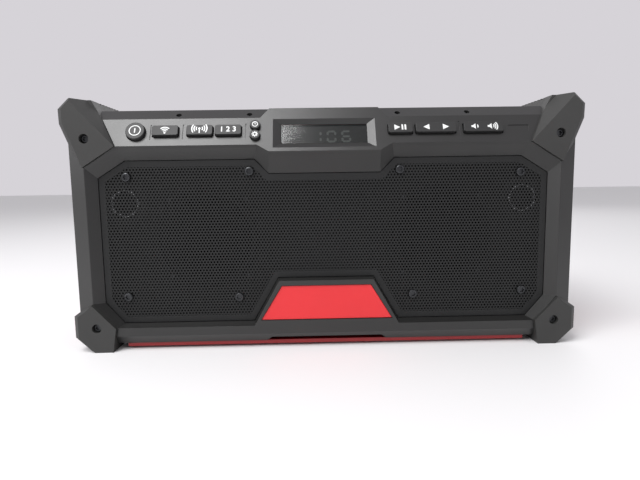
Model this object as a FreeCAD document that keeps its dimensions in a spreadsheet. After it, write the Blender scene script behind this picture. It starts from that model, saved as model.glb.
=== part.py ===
"""Jobsite radio: a boxy speaker with four corner bumpers, a sloped key panel and a side cage.

Millimetres. X runs to the right, the front faces -Y and Z is up. The origin is at the
middle of the footprint on the floor. Depths named "..._y" are measured back from the
foremost bumper faces, and the function at_depth turns them into the model's own Y.
"""
import FreeCAD, Part
import os
import Sketcher

doc = FreeCAD.newDocument("JobsiteRadio")
sheet = doc.addObject("Spreadsheet::Sheet", "size")
subparts = []

# Driving dimensions
SIZES = (
    # Whole radio
    ("depth", 160, "front bumper faces to rear bumper faces"),
    ("side_x", 195.8, "half width over the side faces"),
    ("wall", 3, "wall of the frame and of the housing"),
    ("fit_gap", 0.3, "gap round a piece that sits in an opening"),
    # Corner bumpers, as corners of one upper and one lower outline
    ("bumper_deep", 23, "depth of a bumper from its face"),
    ("ear_rise", 7.2, "rise of the upper bumpers over the panel"),
    ("ear_inner_in", 16.7, "inner end of the upper bumper's top face, in from the side"),
    ("ear_outer_in", 4.1, "outer end of that face, in from the side"),
    ("ear_side_out", 4.2, "widest point of the upper bumper, out from the side"),
    ("ear_side_drop", 8, "its drop below the bumper's top"),
    ("ear_low_out", 4, "lower end of the outer facet, out from the side"),
    ("ear_low_drop", 18.8, "its drop below the bumper's top"),
    ("ear_heel_in", 4, "outer end of the lower tip, in from the side"),
    ("ear_heel_drop", 3.1, "its drop below the panel"),
    ("ear_tip_in", 12.3, "lower tip on the front ridge, in from the side"),
    ("ear_tip_drop", 15.8, "its drop below the panel"),
    ("ear_toe_in", 37.3, "inner tip beside the panel, in from the side"),
    ("ear_toe_drop", 0.2, "its drop below the panel"),
    ("seam_in", 21.8, "inner upper corner, in from the side"),
    ("seam_drop", 2, "its drop below the panel's top"),
    ("facet_sink", 14, "how far the inner facet runs back at the seam"),
    ("facet_in", 7.8, "outer end of the facet's ridge, in from the side"),
    ("facet_drop", 4.2, "its drop below the bumper's top"),
    ("foot_apex_in", 12.2, "top of the foot, in from the side"),
    ("foot_apex_z", 38.1, "height of the foot's top"),
    ("foot_side_out", 3, "outer face of the foot, out from the side"),
    ("foot_shoulder_in", 4, "shoulder under the apex, in from the side"),
    ("foot_shoulder_z", 33.9, "height of the shoulder"),
    ("foot_side_top", 28.9, "upper end of the foot's outer face"),
    ("foot_side_low", 11.7, "lower end of the foot's outer face"),
    ("sole_outer_in", 9.3, "outer end of the sole, in from the side"),
    ("sole_inner_in", 27.2, "inner end of the sole, in from the side"),
    ("foot_toe_in", 30.2, "inner corner of the foot, in from the side"),
    ("foot_toe_z", 19, "height of the inner corner"),
    ("bumper_edge", 4, "width of the sloped edge on a bumper's outer face"),
    ("bumper_screw_in", 15.2, "bumper screws, in from the side"),
    ("ear_screw_rise", 5.7, "upper bumper screws over the panel's lower edge"),
    ("foot_screw_z", 19.4, "height of the foot screws"),
    ("bumper_recess", 3.6, "radius of the recess round a bumper screw"),
    ("bumper_recess_deep", 5, "depth of that recess"),
    ("bumper_head", 2.2, "height of a bumper screw's head"),
    ("bumper_screw_hole", 2, "radius of the bumper screws' holes"),
    # Bezel and window
    ("ridge_y", 3, "front ridge of the bezel"),
    ("ridge_in", 12.3, "ridge between the front and the side chamfer, in from the side"),
    ("side_y", 8, "where the side face begins"),
    ("window_y", 11, "depth of the window's inner edge"),
    ("funnel_over", 5, "how far the window cutter starts before the ridge"),
    ("window_in", 19.3, "side of the window, in from the side"),
    ("window_drop", 10.4, "top of the window below the panel"),
    ("window_top_in", 21.5, "end of the window's top edge, in from its side"),
    ("window_top_cut", 13.4, "height of the window's upper corner cuts"),
    ("window_low_cut", 16.9, "height of the window's lower corner cuts"),
    ("window_rise", 15.6, "bottom of the window over the bar's underside"),
    ("window_low_in", 14.5, "end of the window's bottom edge, in from its side"),
    ("pod_notch_x", 54.5, "window top edge, end beside the display pod"),
    ("pod_notch_low_x", 43.8, "corner under the display pod"),
    ("pod_notch_deep", 11.2, "depth of the notch under the display pod"),
    ("badge_notch_x", 57.8, "window bottom edge, end beside the badge"),
    ("badge_notch_top_x", 38.3, "corner above the badge"),
    ("badge_notch_tall", 34.7, "height of the notch over the badge"),
    ("top_flare", 16.9, "rise of the window cutter over the window's top"),
    ("side_flare", 10.56, "growth of the cutter at the sides"),
    ("low_flare", 3.25, "drop of the cutter at the bottom"),
    ("top_corner_flare", 19.6, "rise of the cutter at the upper corners"),
    ("low_corner_flare", 10.7, "drop of the cutter at the lower corners"),
    ("badge_side_flare", 4.5, "drop of the cutter beside the badge"),
    ("badge_top_flare", 1.63, "drop of the cutter above the badge"),
    ("pod_flare", 19.8, "rise of the cutter under the pod"),
    ("pod_side_flare", 1.46, "inward growth of the cutter under the pod"),
    ("bar_face_low", 12, "lower end of the bottom bar's front face"),
    ("bar_low", 5, "underside of the bottom bar"),
    ("bar_low_y", 8.5, "depth where the sloped underside ends"),
    ("arch_x", 48, "half width of the arch in the underside"),
    ("arch_slant", 4, "slant of the arch's ends"),
    ("arch_rise", 3.5, "height of the arch"),
    ("frame_back", 45, "depth where the frame meets the housing"),
    ("corner_low_in", 20.8, "inner end of the lower corner chamfer, in from the side"),
    ("corner_low_z", 26, "upper end of the lower corner chamfer"),
    ("corner_top_in", 21.3, "inner end of the upper corner chamfer, in from the side"),
    ("corner_top_drop", 26, "lower end of the upper corner chamfer below the panel's top"),
    ("gusset", 4, "plate behind each front bumper"),
    # Baffle and grille
    ("grille_y", 11.2, "front of the grille"),
    ("grille_thick", 1.2, "grille sheet"),
    ("baffle_thick", 4, "baffle board"),
    ("baffle_lap", 5, "lap of the baffle behind the bezel"),
    ("grille_screw_r", 3.6, "radius of a grille screw head"),
    ("grille_screw_head", 2, "height of that head"),
    ("grille_screw_long", 7, "shank length"),
    ("grille_screw_hole", 1.5, "radius of the screws' holes"),
    ("corner_screw_in", 22, "upper outer grille screws, in from the window's side"),
    ("corner_screw_drop", 12.8, "their drop below the window's top"),
    ("mid_screw_out", 4.5, "upper middle grille screws, out from the pod's notch"),
    ("mid_screw_drop", 9.6, "their drop below the window's top"),
    ("low_screw_in", 18.5, "lower outer grille screws, in from the window's side"),
    ("low_screw_rise", 21.4, "their rise over the window's bottom"),
    ("inner_screw_out", 12, "lower inner grille screws, out from the badge's notch"),
    ("inner_screw_rise", 19.8, "their rise over the window's bottom"),
    # Drivers
    ("woofer_x", 92, "woofers from the middle"),
    ("woofer_z", 88, "height of the woofers"),
    ("woofer_hole", 40, "radius of the hole in the baffle"),
    ("woofer_rim", 46, "outer radius of the basket's rim"),
    ("woofer_cone", 31, "outer radius of the cone"),
    ("woofer_coil", 11, "radius of the voice coil"),
    ("woofer_deep", 24, "depth of the basket"),
    ("woofer_dish", 15, "depth of the cone"),
    ("cap_rise", 4, "rise of the dust cap"),
    ("cone_wall", 0.8, "thickness of the cone and its surround"),
    ("roll_rise", 3, "rise of the surround's roll"),
    ("basket_wall", 2, "wall of the basket"),
    ("driver_screw_r", 1.4, "radius of the screws round the woofers"),
    ("driver_screw_in", 3, "their distance in from the rim"),
    ("magnet_r", 27, "radius of the magnet"),
    ("magnet_deep", 16, "thickness of the magnet with its plates"),
    ("tweeter_in", 19.5, "tweeters, in from the window's side"),
    ("tweeter_drop", 33.3, "tweeters below the window's top"),
    ("tweeter_r", 17, "outer radius of the tweeter's frame"),
    ("tweeter_hole", 12.5, "radius of the tweeter's mouth"),
    ("tweeter_deep", 14, "depth of the tweeter's body"),
    ("tweeter_dome", 7, "radius of the tweeter's dome"),
    # Control panel
    ("panel_low", 160.2, "lower edge of the panel, on the ridge"),
    ("panel_tilt", 26.9, "lean of the key face from vertical"),
    ("crease_y", 13.7, "depth of the crease above the keys"),
    ("brow_tilt", 50.4, "lean of the facet above the crease"),
    ("panel_top", 189, "top of the panel"),
    ("panel_back", 30, "rear edge of the panel's top flange"),
    ("panel_shell", 2.6, "panel wall"),
    ("pod_x", 49.5, "half width of the pod at the crease"),
    ("pod_top_x", 42.6, "half width of the pod at its top"),
    ("well_low", 2.9, "lower edge of the key well up the slope"),
    ("well_in", 39.8, "end of the key well, in from the side"),
    ("beam", 3, "beam under the upper facet"),
    ("recess_x", 39.5, "half width of the display recess"),
    ("recess_low", -3, "lower edge of the recess, up the slope from the ridge"),
    ("recess_high", 22.4, "upper edge of the recess"),
    ("glass_x", 33.4, "half width of the display window"),
    ("glass_low", 2, "lower edge of the display window"),
    ("glass_high", 18.8, "upper edge of the display window"),
    ("lens_lap", 2.6, "lap of the lens behind the window"),
    ("lens_thick", 1.6, "display lens"),
    # Keys, across the panel and up its slope from the ridge
    ("key_row", 11.8, "middle of the key row"),
    ("key_tall", 8.5, "height of a key"),
    ("key_proud", 3, "how far a key stands out"),
    ("key_gap", 0.5, "gap round a key"),
    ("key_travel", 1, "travel of a key"),
    ("key_flange", 1, "retaining flange round a key"),
    ("side_flange", 0.2, "what it adds beside a key"),
    ("flange_thick", 1.2, "thickness of the flange"),
    ("flange_gap", 0.2, "rest gap under the panel"),
    ("rocker_gap", 0.8, "gap over a rocker's flange"),
    ("key_corner", 1, "corner cut of a key"),
    ("power_x", -144, "power key"),
    ("power_r", 7.25, "its radius"),
    ("radio_x", -121.35, "wireless key"),
    ("band_x", -95.15, "band key"),
    ("preset_x", -73.45, "preset key"),
    ("wide_key", 19.9, "width of those three keys"),
    ("dot_x", -53, "two small round keys"),
    ("dot_r", 3.75, "their radius"),
    ("dot_rise", 4.4, "offset of each from the row"),
    ("play_x", 58.7, "play key"),
    ("play_wide", 18.8, "its width"),
    ("track_x", 86, "track rocker"),
    ("track_wide", 31.2, "its width"),
    ("volume_x", 122.95, "volume rocker"),
    ("volume_wide", 30.5, "its width"),
    ("label_x", 151, "label recess"),
    ("label_wide", 15.5, "its width"),
    ("label_tall", 5.5, "its height"),
    ("label_deep", 0.5, "its depth"),
    ("slot_wide", 0.8, "separator slots"),
    ("slot_tall", 13, "their height"),
    ("slot_deep", 0.6, "their depth"),
    ("slot_one_x", -132.9, "slot beside the power key"),
    ("slot_two_x", -108.2, "slot beside the wireless key"),
    ("slot_three_x", -60.3, "slot beside the preset key"),
    ("slot_four_x", 104.7, "slot between the rockers"),
    ("membrane_thick", 1.2, "rubber key mat"),
    ("mat_gap", 0.3, "gap between the pressed keys and the mat"),
    ("board_thick", 1.6, "circuit boards"),
    ("board_in", 3, "end of the key board, in from the well's end"),
    ("board_low", 5.5, "lower edge of the key board up the slope"),
    ("board_high", 20.6, "upper edge of the key board"),
    ("post_r", 1, "posts that carry the key board"),
    ("post_x", 43.6, "posts beside the display"),
    ("post_left_x", 133.9, "post beside the power key"),
    ("post_left_up", 18.4, "that post up the slope"),
    ("post_right_x", 146, "post behind the label recess"),
    ("panel_screw_x", 58, "inner panel screws"),
    ("panel_screw_out_x", 113, "outer panel screws"),
    ("panel_screw_r", 2.15, "radius of the panel screws' holes"),
    ("panel_screw_y", 17.6, "depth of the panel screws"),
    ("panel_screw_hole", 1.6, "radius of the screws' holes in the frame"),
    ("panel_screw_head", 1.6, "height of a panel screw's head"),
    ("panel_screw_long", 5, "length of its shank"),
    # Badge
    ("badge_low_in", 5.8, "end of the plate's bottom, in from the notch"),
    ("badge_top_in", 3.1, "end of the plate's top, in from the notch"),
    ("badge_rise", 2.4, "bottom of the plate over the window's bottom"),
    ("badge_drop", 5.2, "top of the plate below the notch"),
    ("badge_deep", 1.8, "depth of its recess"),
    ("badge_thick", 1, "thickness of the plate"),
    # Rear housing and cage
    ("rear_stand", 10, "rear bumper faces behind the housing"),
    ("tray_in", 35.8, "end of the red tray lip, in from the side"),
    ("tray_low", 2, "underside of the tray"),
    ("tray_y", 9.5, "front edge of the tray lip"),
    ("bridge_back", 60, "rear of the full height front part"),
    ("grip_in", 45.8, "end of the hand space, in from the side"),
    ("hand_deep", 55, "depth of the hand space below the panel's top"),
    ("finger_room", 32, "room for fingers under the handle bar"),
    ("bar_tall", 20, "height of the handle bar"),
    ("bar_deep", 22, "thickness of the handle bar"),
    ("bar_in", 54, "front of the handle bar before the rear bumper faces"),
    ("bar_corner", 6, "corner cut of the handle bar"),
    ("handle_screw_r", 3.6, "radius of a handle screw's head"),
    ("handle_thread", 1.6, "step from its head to its shank"),
    ("handle_screw_long", 14, "its length in the bar"),
    ("rib_pitch", 6, "pitch of the rail's ribs"),
    ("rib_wide", 3, "width of a groove between ribs"),
    ("rib_deep", 1, "depth of a groove"),
    # Battery dock and pack
    ("pack_x", 40, "half width of the battery pack"),
    ("pack_low", 34, "underside of the pack"),
    ("pack_tall", 64, "height of the pack"),
    ("pack_deep", 50, "length of the pack"),
    ("pack_in", 52, "front face of the pack before the rear bumper faces"),
    ("pack_gap", 0.4, "gap round the pack in its dock"),
    ("rail_tall", 4, "height of a dock rail"),
    ("rail_wide", 3, "how far a rail stands in"),
    ("rail_z", 60, "underside of the dock rails"),
    ("rail_gap", 0.4, "gap round a rail in the pack's groove"),
    ("dock_wall", 2.5, "wall of the dock"),
    ("blade_x", 12, "pitch of the terminal blades"),
    ("blade_thick", 1.2, "thickness of a blade"),
    ("blade_tall", 8, "height of a blade"),
    ("blade_long", 9, "length of a blade"),
    ("blade_gap", 0.6, "gap round a blade in the pack"),
    ("blade_z", 80, "height of the blades' middle"),
    ("latch_x", 12, "half width of the latch button"),
    ("latch_tall", 5, "height of the latch button"),
    ("latch_sink", 5, "depth of the button's well in the pack"),
    ("latch_z", 84, "underside of the latch button"),
    ("latch_travel", 2, "travel of the latch button"),
    ("latch_gap", 0.3, "gap round the button"),
    # Ports
    ("port_x", 105, "ports from the middle"),
    ("port_z", 92, "height of the ports"),
    ("port_wide", 54, "width of the port recess"),
    ("port_tall", 34, "height of the port recess"),
    ("port_deep", 14, "depth of the port recess"),
    ("port_wall", 2.4, "walls of the port recess"),
    ("port_plate", 2, "port plate"),
    ("jack_r", 3.2, "radius of the audio socket"),
    ("usb_wide", 13.4, "width of the charging socket"),
    ("usb_tall", 6, "height of the charging socket"),
    ("cover_thick", 3, "thickness of the port cover"),
    ("pin_r", 1.5, "radius of the cover's hinge pin"),
    ("pin_gap", 0.05, "running gap round the pin"),
    ("knuckle_r", 3, "radius of the hinge knuckle"),
    ("knuckle_long", 36, "length of the hinge knuckle"),
    # Inside
    ("board_lead", 12, "main board before the pack"),
    ("main_board_x", 60, "half width of the main board"),
    ("main_board_low", 30, "lower edge of the main board"),
    ("main_board_tall", 80, "height of the main board"),
    ("stud_r", 4, "radius of the main board's studs"),
    ("stud_x", 30, "studs from the middle"),
    ("stud_low", 42, "lower studs"),
    ("stud_high", 92, "upper studs"),
    ("case_screw_r", 3.4, "radius of a case screw's head"),
    ("case_screw_head", 2.4, "height of its head"),
    ("case_shank_r", 1.9, "radius of its shank"),
    ("case_screw_bite", 12, "its length in the front frame"),
    ("case_head_y", 62, "depth of the seat of its head"),
    ("case_boss_r", 6, "radius of the bosses round the case screws"),
    ("case_screw_in", 8.8, "case screws, in from the side"),
    ("case_screw_low", 60, "lower case screws"),
    ("case_screw_high", 128, "upper case screws"),
)


# Places worked out from the driving dimensions
PLACES = {
    "ear_top": "(panel_top + ear_rise)",
    "ear_in_x": "(side_x - ear_inner_in)",
    "ear_out_x": "(side_x - ear_outer_in)",
    "ear_side_x": "(side_x + ear_side_out)",
    "ear_side_z": "(ear_top - ear_side_drop)",
    "ear_low_x": "(side_x + ear_low_out)",
    "ear_low_z": "(ear_top - ear_low_drop)",
    "ear_heel_x": "(side_x - ear_heel_in)",
    "ear_heel_z": "(panel_low - ear_heel_drop)",
    "ear_tip_x": "(side_x - ear_tip_in)",
    "ear_tip_z": "(panel_low - ear_tip_drop)",
    "ear_toe_x": "(side_x - ear_toe_in)",
    "ear_toe_z": "(panel_low - ear_toe_drop)",
    "seam_x": "(side_x - seam_in)",
    "seam_z": "(panel_top - seam_drop)",
    "facet_x": "(side_x - facet_in)",
    "facet_z": "(ear_top - facet_drop)",
    "foot_apex_x": "(side_x - foot_apex_in)",
    "foot_side_x": "(side_x + foot_side_out)",
    "foot_shoulder_x": "(side_x - foot_shoulder_in)",
    "foot_out_x": "(side_x - sole_outer_in)",
    "foot_in_x": "(side_x - sole_inner_in)",
    "foot_toe_x": "(side_x - foot_toe_in)",
    "bumper_screw_x": "(side_x - bumper_screw_in)",
    "ear_screw_z": "(panel_low + ear_screw_rise)",
    "ridge_x": "(side_x - ridge_in)",
    "window_x": "(side_x - window_in)",
    "window_top": "(panel_low - window_drop)",
    "window_top_x": "(window_x - window_top_in)",
    "window_side_top": "(window_top - window_top_cut)",
    "window_low": "(bar_low + window_rise)",
    "window_low_x": "(window_x - window_low_in)",
    "window_side_low": "(window_low + window_low_cut)",
    "pod_notch_low": "(window_top - pod_notch_deep)",
    "badge_notch_top": "(window_low + badge_notch_tall)",
    "corner_low_x": "(side_x - corner_low_in)",
    "corner_top_x": "(side_x - corner_top_in)",
    "corner_top_z": "(panel_top - corner_top_drop)",
    "corner_screw_x": "(window_x - corner_screw_in)",
    "corner_screw_z": "(window_top - corner_screw_drop)",
    "mid_screw_x": "(pod_notch_x + mid_screw_out)",
    "mid_screw_z": "(window_top - mid_screw_drop)",
    "low_screw_x": "(window_x - low_screw_in)",
    "low_screw_z": "(window_low + low_screw_rise)",
    "inner_screw_x": "(badge_notch_x + inner_screw_out)",
    "inner_screw_z": "(window_low + inner_screw_rise)",
    "tweeter_x": "(window_x - tweeter_in)",
    "tweeter_z": "(window_top - tweeter_drop)",
    "well_x": "(side_x - well_in)",
    "board_x": "(well_x - board_in)",
    "badge_low": "(window_low + badge_rise)",
    "badge_top": "(badge_notch_top - badge_drop)",
    "badge_low_x": "(badge_notch_x - badge_low_in)",
    "badge_top_x": "(badge_notch_top_x - badge_top_in)",
    "housing_back": "(depth - rear_stand)",
    "tray_x": "(side_x - tray_in)",
    "grip_x": "(side_x - grip_in)",
    "grip_low": "(panel_top - hand_deep)",
    "bar_low_z": "(grip_low + finger_room)",
    "bar_y": "(depth - bar_in)",
    "pack_y": "(depth - pack_in)",
    "main_board_y": "(pack_y - board_lead)",
    "case_screw_x": "(side_x - case_screw_in)",
}


def fill_sheet():
    """Write every driving dimension as a plain number with its own alias."""
    for row, (alias, value, note) in enumerate(SIZES, start=1):
        sheet.set("A%d" % row, alias)
        sheet.set("B%d" % row, str(value))
        sheet.set("C%d" % row, note)
        sheet.setAlias("B%d" % row, alias)
    doc.recompute()


def named(text):
    """Put the sheet's name before each driving dimension in a formula."""
    words = []
    word = ""
    for letter in text + " ":
        if letter.isalnum() or letter in "_.":
            word += letter
            continue
        if word in PLACES:
            word = named(PLACES[word])
        words.append("size." + word if word in ALIASES else word)
        words.append(letter)
        word = ""
    return "".join(words).strip()


def value_of(formula):
    """Work a formula out to a plain number."""
    result = sheet.evalExpression(named(formula))
    return float(getattr(result, "Value", result))


def at_depth(formula):
    """Model Y of a depth that is measured back from the bumper faces."""
    return "((%s) - depth / 2)" % formula


def new_body(label):
    """Start one sub-part."""
    body = doc.addObject("PartDesign::Body", label)
    body.Label = label
    subparts.append(body)
    return body


def origin_plane(body, role):
    """One of the body's own origin planes."""
    return [item for item in body.Origin.OriginFeatures if item.Role == role][0]


def polygon(*corners):
    return ("polygon", corners)


def circle(across, up, radius):
    return ("circle", (across, up, radius))


def box(left, right, low, high):
    return polygon((left, low), (right, low), (right, high), (left, high))


def add_polygon(sketch, corners):
    """Draw a closed outline whose corners stay tied to their formulas."""
    first = sketch.GeometryCount
    count = len(corners)
    places = [(value_of(across), value_of(up)) for across, up in corners]
    for index in range(count):
        start = places[index]
        end = places[(index + 1) % count]
        line = Part.LineSegment(FreeCAD.Vector(start[0], start[1], 0), FreeCAD.Vector(end[0], end[1], 0))
        sketch.addGeometry(line, False)
    for index in range(count):
        following = first + (index + 1) % count
        sketch.addConstraint(Sketcher.Constraint("Coincident", first + index, 2, following, 1))
    for index, corner in enumerate(corners):
        for kind, formula, place in zip(("DistanceX", "DistanceY"), corner, places[index]):
            number = sketch.addConstraint(Sketcher.Constraint(kind, -1, 1, first + index, 1, place))
            sketch.setExpression("Constraints[%d]" % number, named(formula))


def add_circle(sketch, across, up, radius):
    """Draw a circle tied to its formulas."""
    index = sketch.GeometryCount
    middle = FreeCAD.Vector(value_of(across), value_of(up), 0)
    sketch.addGeometry(Part.Circle(middle, FreeCAD.Vector(0, 0, 1), value_of(radius)), False)
    for kind, formula, place in (("DistanceX", across, middle.x), ("DistanceY", up, middle.y)):
        number = sketch.addConstraint(Sketcher.Constraint(kind, -1, 1, index, 3, place))
        sketch.setExpression("Constraints[%d]" % number, named(formula))
    number = sketch.addConstraint(Sketcher.Constraint("Radius", index, value_of(radius)))
    sketch.setExpression("Constraints[%d]" % number, named(radius))


def new_sketch(body, role, shapes, base=("0", "0", "0"), lean=None):
    """Sketch on an origin plane, moved by base and leaned back round its own X."""
    sketch = body.newObject("Sketcher::SketchObject", body.Name + "_sketch")
    sketch.AttachmentSupport = [(origin_plane(body, role), "")]
    sketch.MapMode = "FlatFace"
    if lean:
        turn = FreeCAD.Rotation(FreeCAD.Vector(-1, 0, 0), value_of(lean))
        sketch.AttachmentOffset = FreeCAD.Placement(FreeCAD.Vector(0, 0, 0), turn)
        sketch.setExpression(".AttachmentOffset.Rotation.Angle", named(lean))
    for axis, formula in zip("xyz", base):
        sketch.setExpression(".AttachmentOffset.Base." + axis, named(formula))
    for kind, numbers in shapes:
        if kind == "polygon":
            add_polygon(sketch, numbers)
        else:
            add_circle(sketch, *numbers)
    return sketch


def front_sketch(body, depth, *shapes):
    """Sketch seen from the front, X across and Z up, at a depth behind the bumper faces."""
    return new_sketch(body, "XZ_Plane", shapes, ("0", "0", "-" + at_depth(depth)))


def side_sketch(body, across, *shapes):
    """Sketch seen from the side, Y across and Z up, at a place along X."""
    return new_sketch(body, "YZ_Plane", shapes, ("0", "0", across))


def slope_sketch(body, height, *shapes):
    """Sketch on the key face, height above it: X across, and up the slope from the ridge."""
    down = "-(%s - (%s) * cos(panel_tilt))" % (at_depth("ridge_y"), height)
    rise = "panel_low + (%s) * sin(panel_tilt)" % height
    return new_sketch(body, "XZ_Plane", shapes, ("0", rise, down), lean="panel_tilt")


def brow_sketch(body, height, *shapes):
    """Sketch on the facet above the crease, height above it, from the crease up."""
    down = "-(%s - (%s) * cos(brow_tilt))" % (at_depth("crease_y"), height)
    rise = CREASE_Z + " + (%s) * sin(brow_tilt)" % height
    return new_sketch(body, "XZ_Plane", shapes, ("0", rise, down), lean="brow_tilt")


def extrude(body, kind, sketch, length, reverse, both=False):
    """Pad or pocket a sketch, and stop if nothing changed."""
    doc.recompute()
    before = body.Shape.Volume if body.Tip else 0
    feature = body.newObject("PartDesign::" + kind, body.Name + "_" + kind.lower())
    feature.Profile = sketch
    feature.Reversed = reverse
    feature.Midplane = both
    feature.setExpression("Length", named(length))
    doc.recompute()
    if abs(body.Shape.Volume - before) < 0.001:
        raise ValueError("%s of %s changed nothing" % (kind, body.Label))
    return feature


def pad(body, sketch, length):
    """Add material backwards from a front sketch, or inwards from a sloped one."""
    return extrude(body, "Pad", sketch, length, True)


def wide_pad(body, sketch, length):
    """Add material to both sides of the sketch."""
    return extrude(body, "Pad", sketch, length, False, True)


def pocket(body, sketch, length):
    """Cut backwards from a front sketch, or inwards from a sloped one."""
    return extrude(body, "Pocket", sketch, length, False)


def wide_pocket(body, sketch, length):
    """Cut to both sides of the sketch."""
    return extrude(body, "Pocket", sketch, length, False, True)


def loft(body, kind, first, second):
    """Join two like outlines by flat faces."""
    feature = body.newObject("PartDesign::" + kind, body.Name + "_loft")
    feature.Profile = first
    feature.Sections = [second]
    feature.Ruled = True
    doc.recompute()
    return feature


def turned(body, across, up, *profiles):
    """Turn closed outlines of (depth, radius) round a line that runs front to back."""
    sketch = new_sketch(body, "YZ_Plane", profiles, ("-depth / 2", up, across))
    feature = body.newObject("PartDesign::Revolution", body.Name + "_turn")
    feature.Profile = sketch
    feature.ReferenceAxis = (sketch, ["H_Axis"])
    feature.Angle = 360
    doc.recompute()
    return feature


def on_side(side, corners):
    """Turn outline corners of the right half into those of either half."""
    return [(side + "(" + across + ")", up) for across, up in corners]


def both_sides(corners):
    """Close an outline from its right half, which runs from top to bottom."""
    left = [("-(" + across + ")", up) for across, up in reversed(corners)]
    return polygon(*(list(corners) + left))


ALIASES = {alias for alias, value, note in SIZES}
fill_sheet()

# Derived places
CREASE_Z = "(panel_low + (crease_y - ridge_y) / tan(panel_tilt))"
FACE_LONG = "((crease_y - ridge_y) / sin(panel_tilt))"
BROW_LONG = "((panel_top - %s) / cos(brow_tilt))" % CREASE_Z
FACE_INNER = "(%s - panel_shell * tan((brow_tilt - panel_tilt) / 2))" % FACE_LONG
BROW_INNER = "(%s - panel_shell * tan((90 - brow_tilt) / 2))" % BROW_LONG
BROW_BEAM = "(%s - (panel_shell + beam) * tan((90 - brow_tilt) / 2))" % BROW_LONG
BAFFLE_Y = "(grille_y + grille_thick)"
BAFFLE_BACK = "(grille_y + grille_thick + baffle_thick)"
FRAME_TOP = "(panel_top - panel_shell)"
BROW_UP = "((panel_screw_y - crease_y) / sin(brow_tilt))"
FLANGE_H = "(panel_shell + flange_gap)"
MAT_H = "(panel_shell + flange_gap + flange_thick + key_travel + mat_gap)"
BOARD_H = "(%s + membrane_thick)" % MAT_H
HANDLE_Y = "(bar_y + bar_deep / 2)"
HANDLE_Z = "(bar_low_z + bar_tall / 2)"
HINGE_Y = "(housing_back + knuckle_r + fit_gap)"
HINGE_Z = "(port_z - port_tall / 2 - knuckle_r - port_wall)"
CREASE_Y_BACK = "(ridge_y + %s * sin(panel_tilt) + panel_shell / cos(panel_tilt))" % FACE_INNER


def on_slope(up, inward):
    """Y and Z of a place up the key face and inward from it, for a side sketch."""
    depth = "ridge_y + (%s) * sin(panel_tilt) + (%s) * cos(panel_tilt)" % (up, inward)
    return (at_depth(depth), "panel_low + (%s) * cos(panel_tilt) - (%s) * sin(panel_tilt)" % (up, inward))


def on_brow(up, inward):
    """Y and Z of a place up the facet above the crease and inward from it."""
    depth = "crease_y + (%s) * sin(brow_tilt) + (%s) * cos(brow_tilt)" % (up, inward)
    return (at_depth(depth), "%s + (%s) * cos(brow_tilt) - (%s) * sin(brow_tilt)" % (CREASE_Z, up, inward))


EAR = (
    ("ear_out_x", "ear_top"),
    ("ear_side_x", "ear_side_z"),
    ("ear_low_x", "ear_low_z"),
    ("ear_heel_x", "ear_heel_z"),
    ("ear_tip_x", "ear_tip_z"),
    ("ear_toe_x", "ear_toe_z"),
    ("seam_x", "seam_z"),
    ("ear_in_x", "ear_top"),
)
FOOT = (
    ("foot_apex_x", "foot_apex_z"),
    ("foot_shoulder_x", "foot_shoulder_z"),
    ("foot_side_x", "foot_side_top"),
    ("foot_side_x", "foot_side_low"),
    ("foot_out_x", "0"),
    ("foot_in_x", "0"),
    ("foot_toe_x", "foot_toe_z"),
)
SHELL_SIDE = (
    ("corner_top_x", FRAME_TOP),
    ("side_x", "corner_top_z"),
    ("side_x", "corner_low_z"),
    ("corner_low_x", "bar_low"),
)
ARCH = (("arch_x", "bar_low"), ("arch_x - arch_slant", "bar_low + arch_rise"))
TOP_CORNER_FALL = "((window_top - window_side_top) / (window_x - window_top_x))"
LOW_CORNER_FALL = "((window_side_low - window_low) / (window_x - window_low_x))"
BADGE_FALL = "((badge_notch_top - window_low) / (badge_notch_x - badge_notch_top_x))"
POD_FALL = "((window_top - pod_notch_low) / (pod_notch_x - pod_notch_low_x))"
POD_LIP_RISE = "window_top + top_flare - pod_notch_low - pod_flare"
WINDOW = (
    ("pod_notch_low_x", "pod_notch_low"),
    ("pod_notch_x", "window_top"),
    ("window_top_x", "window_top"),
    ("window_x", "window_side_top"),
    ("window_x", "window_side_low"),
    ("window_low_x", "window_low"),
    ("badge_notch_x", "window_low"),
    ("badge_notch_top_x", "badge_notch_top"),
)
LIP = (
    ("pod_notch_low_x - pod_side_flare", "pod_notch_low + pod_flare"),
    (
        "pod_notch_low_x - pod_side_flare + (%s) / %s" % (POD_LIP_RISE, POD_FALL),
        "window_top + top_flare",
    ),
    ("window_top_x + (top_corner_flare - top_flare) / " + TOP_CORNER_FALL, "window_top + top_flare"),
    (
        "window_x + side_flare",
        "window_side_top + top_corner_flare - side_flare * " + TOP_CORNER_FALL,
    ),
    (
        "window_x + side_flare",
        "window_side_low - low_corner_flare + side_flare * " + LOW_CORNER_FALL,
    ),
    ("window_low_x + (low_corner_flare - low_flare) / " + LOW_CORNER_FALL, "window_low - low_flare"),
    ("badge_notch_x - (badge_side_flare - low_flare) / " + BADGE_FALL, "window_low - low_flare"),
    (
        "badge_notch_top_x - (badge_side_flare - badge_top_flare) / " + BADGE_FALL,
        "badge_notch_top - badge_top_flare",
    ),
)


def lapped(lap):
    """Half outline that lies a steady lap outside the window, without its two notches."""
    top_turn = "atan(%s)" % TOP_CORNER_FALL
    low_turn = "atan(%s)" % LOW_CORNER_FALL
    return (
        ("window_top_x + (%s) * tan(%s / 2)" % (lap, top_turn), "window_top + %s" % lap),
        ("window_x + %s" % lap, "window_side_top + (%s) * tan((90 deg - %s) / 2)" % (lap, top_turn)),
        ("window_x + %s" % lap, "window_side_low - (%s) * tan((90 deg - %s) / 2)" % (lap, low_turn)),
        ("window_low_x + (%s) * tan(%s / 2)" % (lap, low_turn), "window_low - (%s)" % lap),
    )


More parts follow.
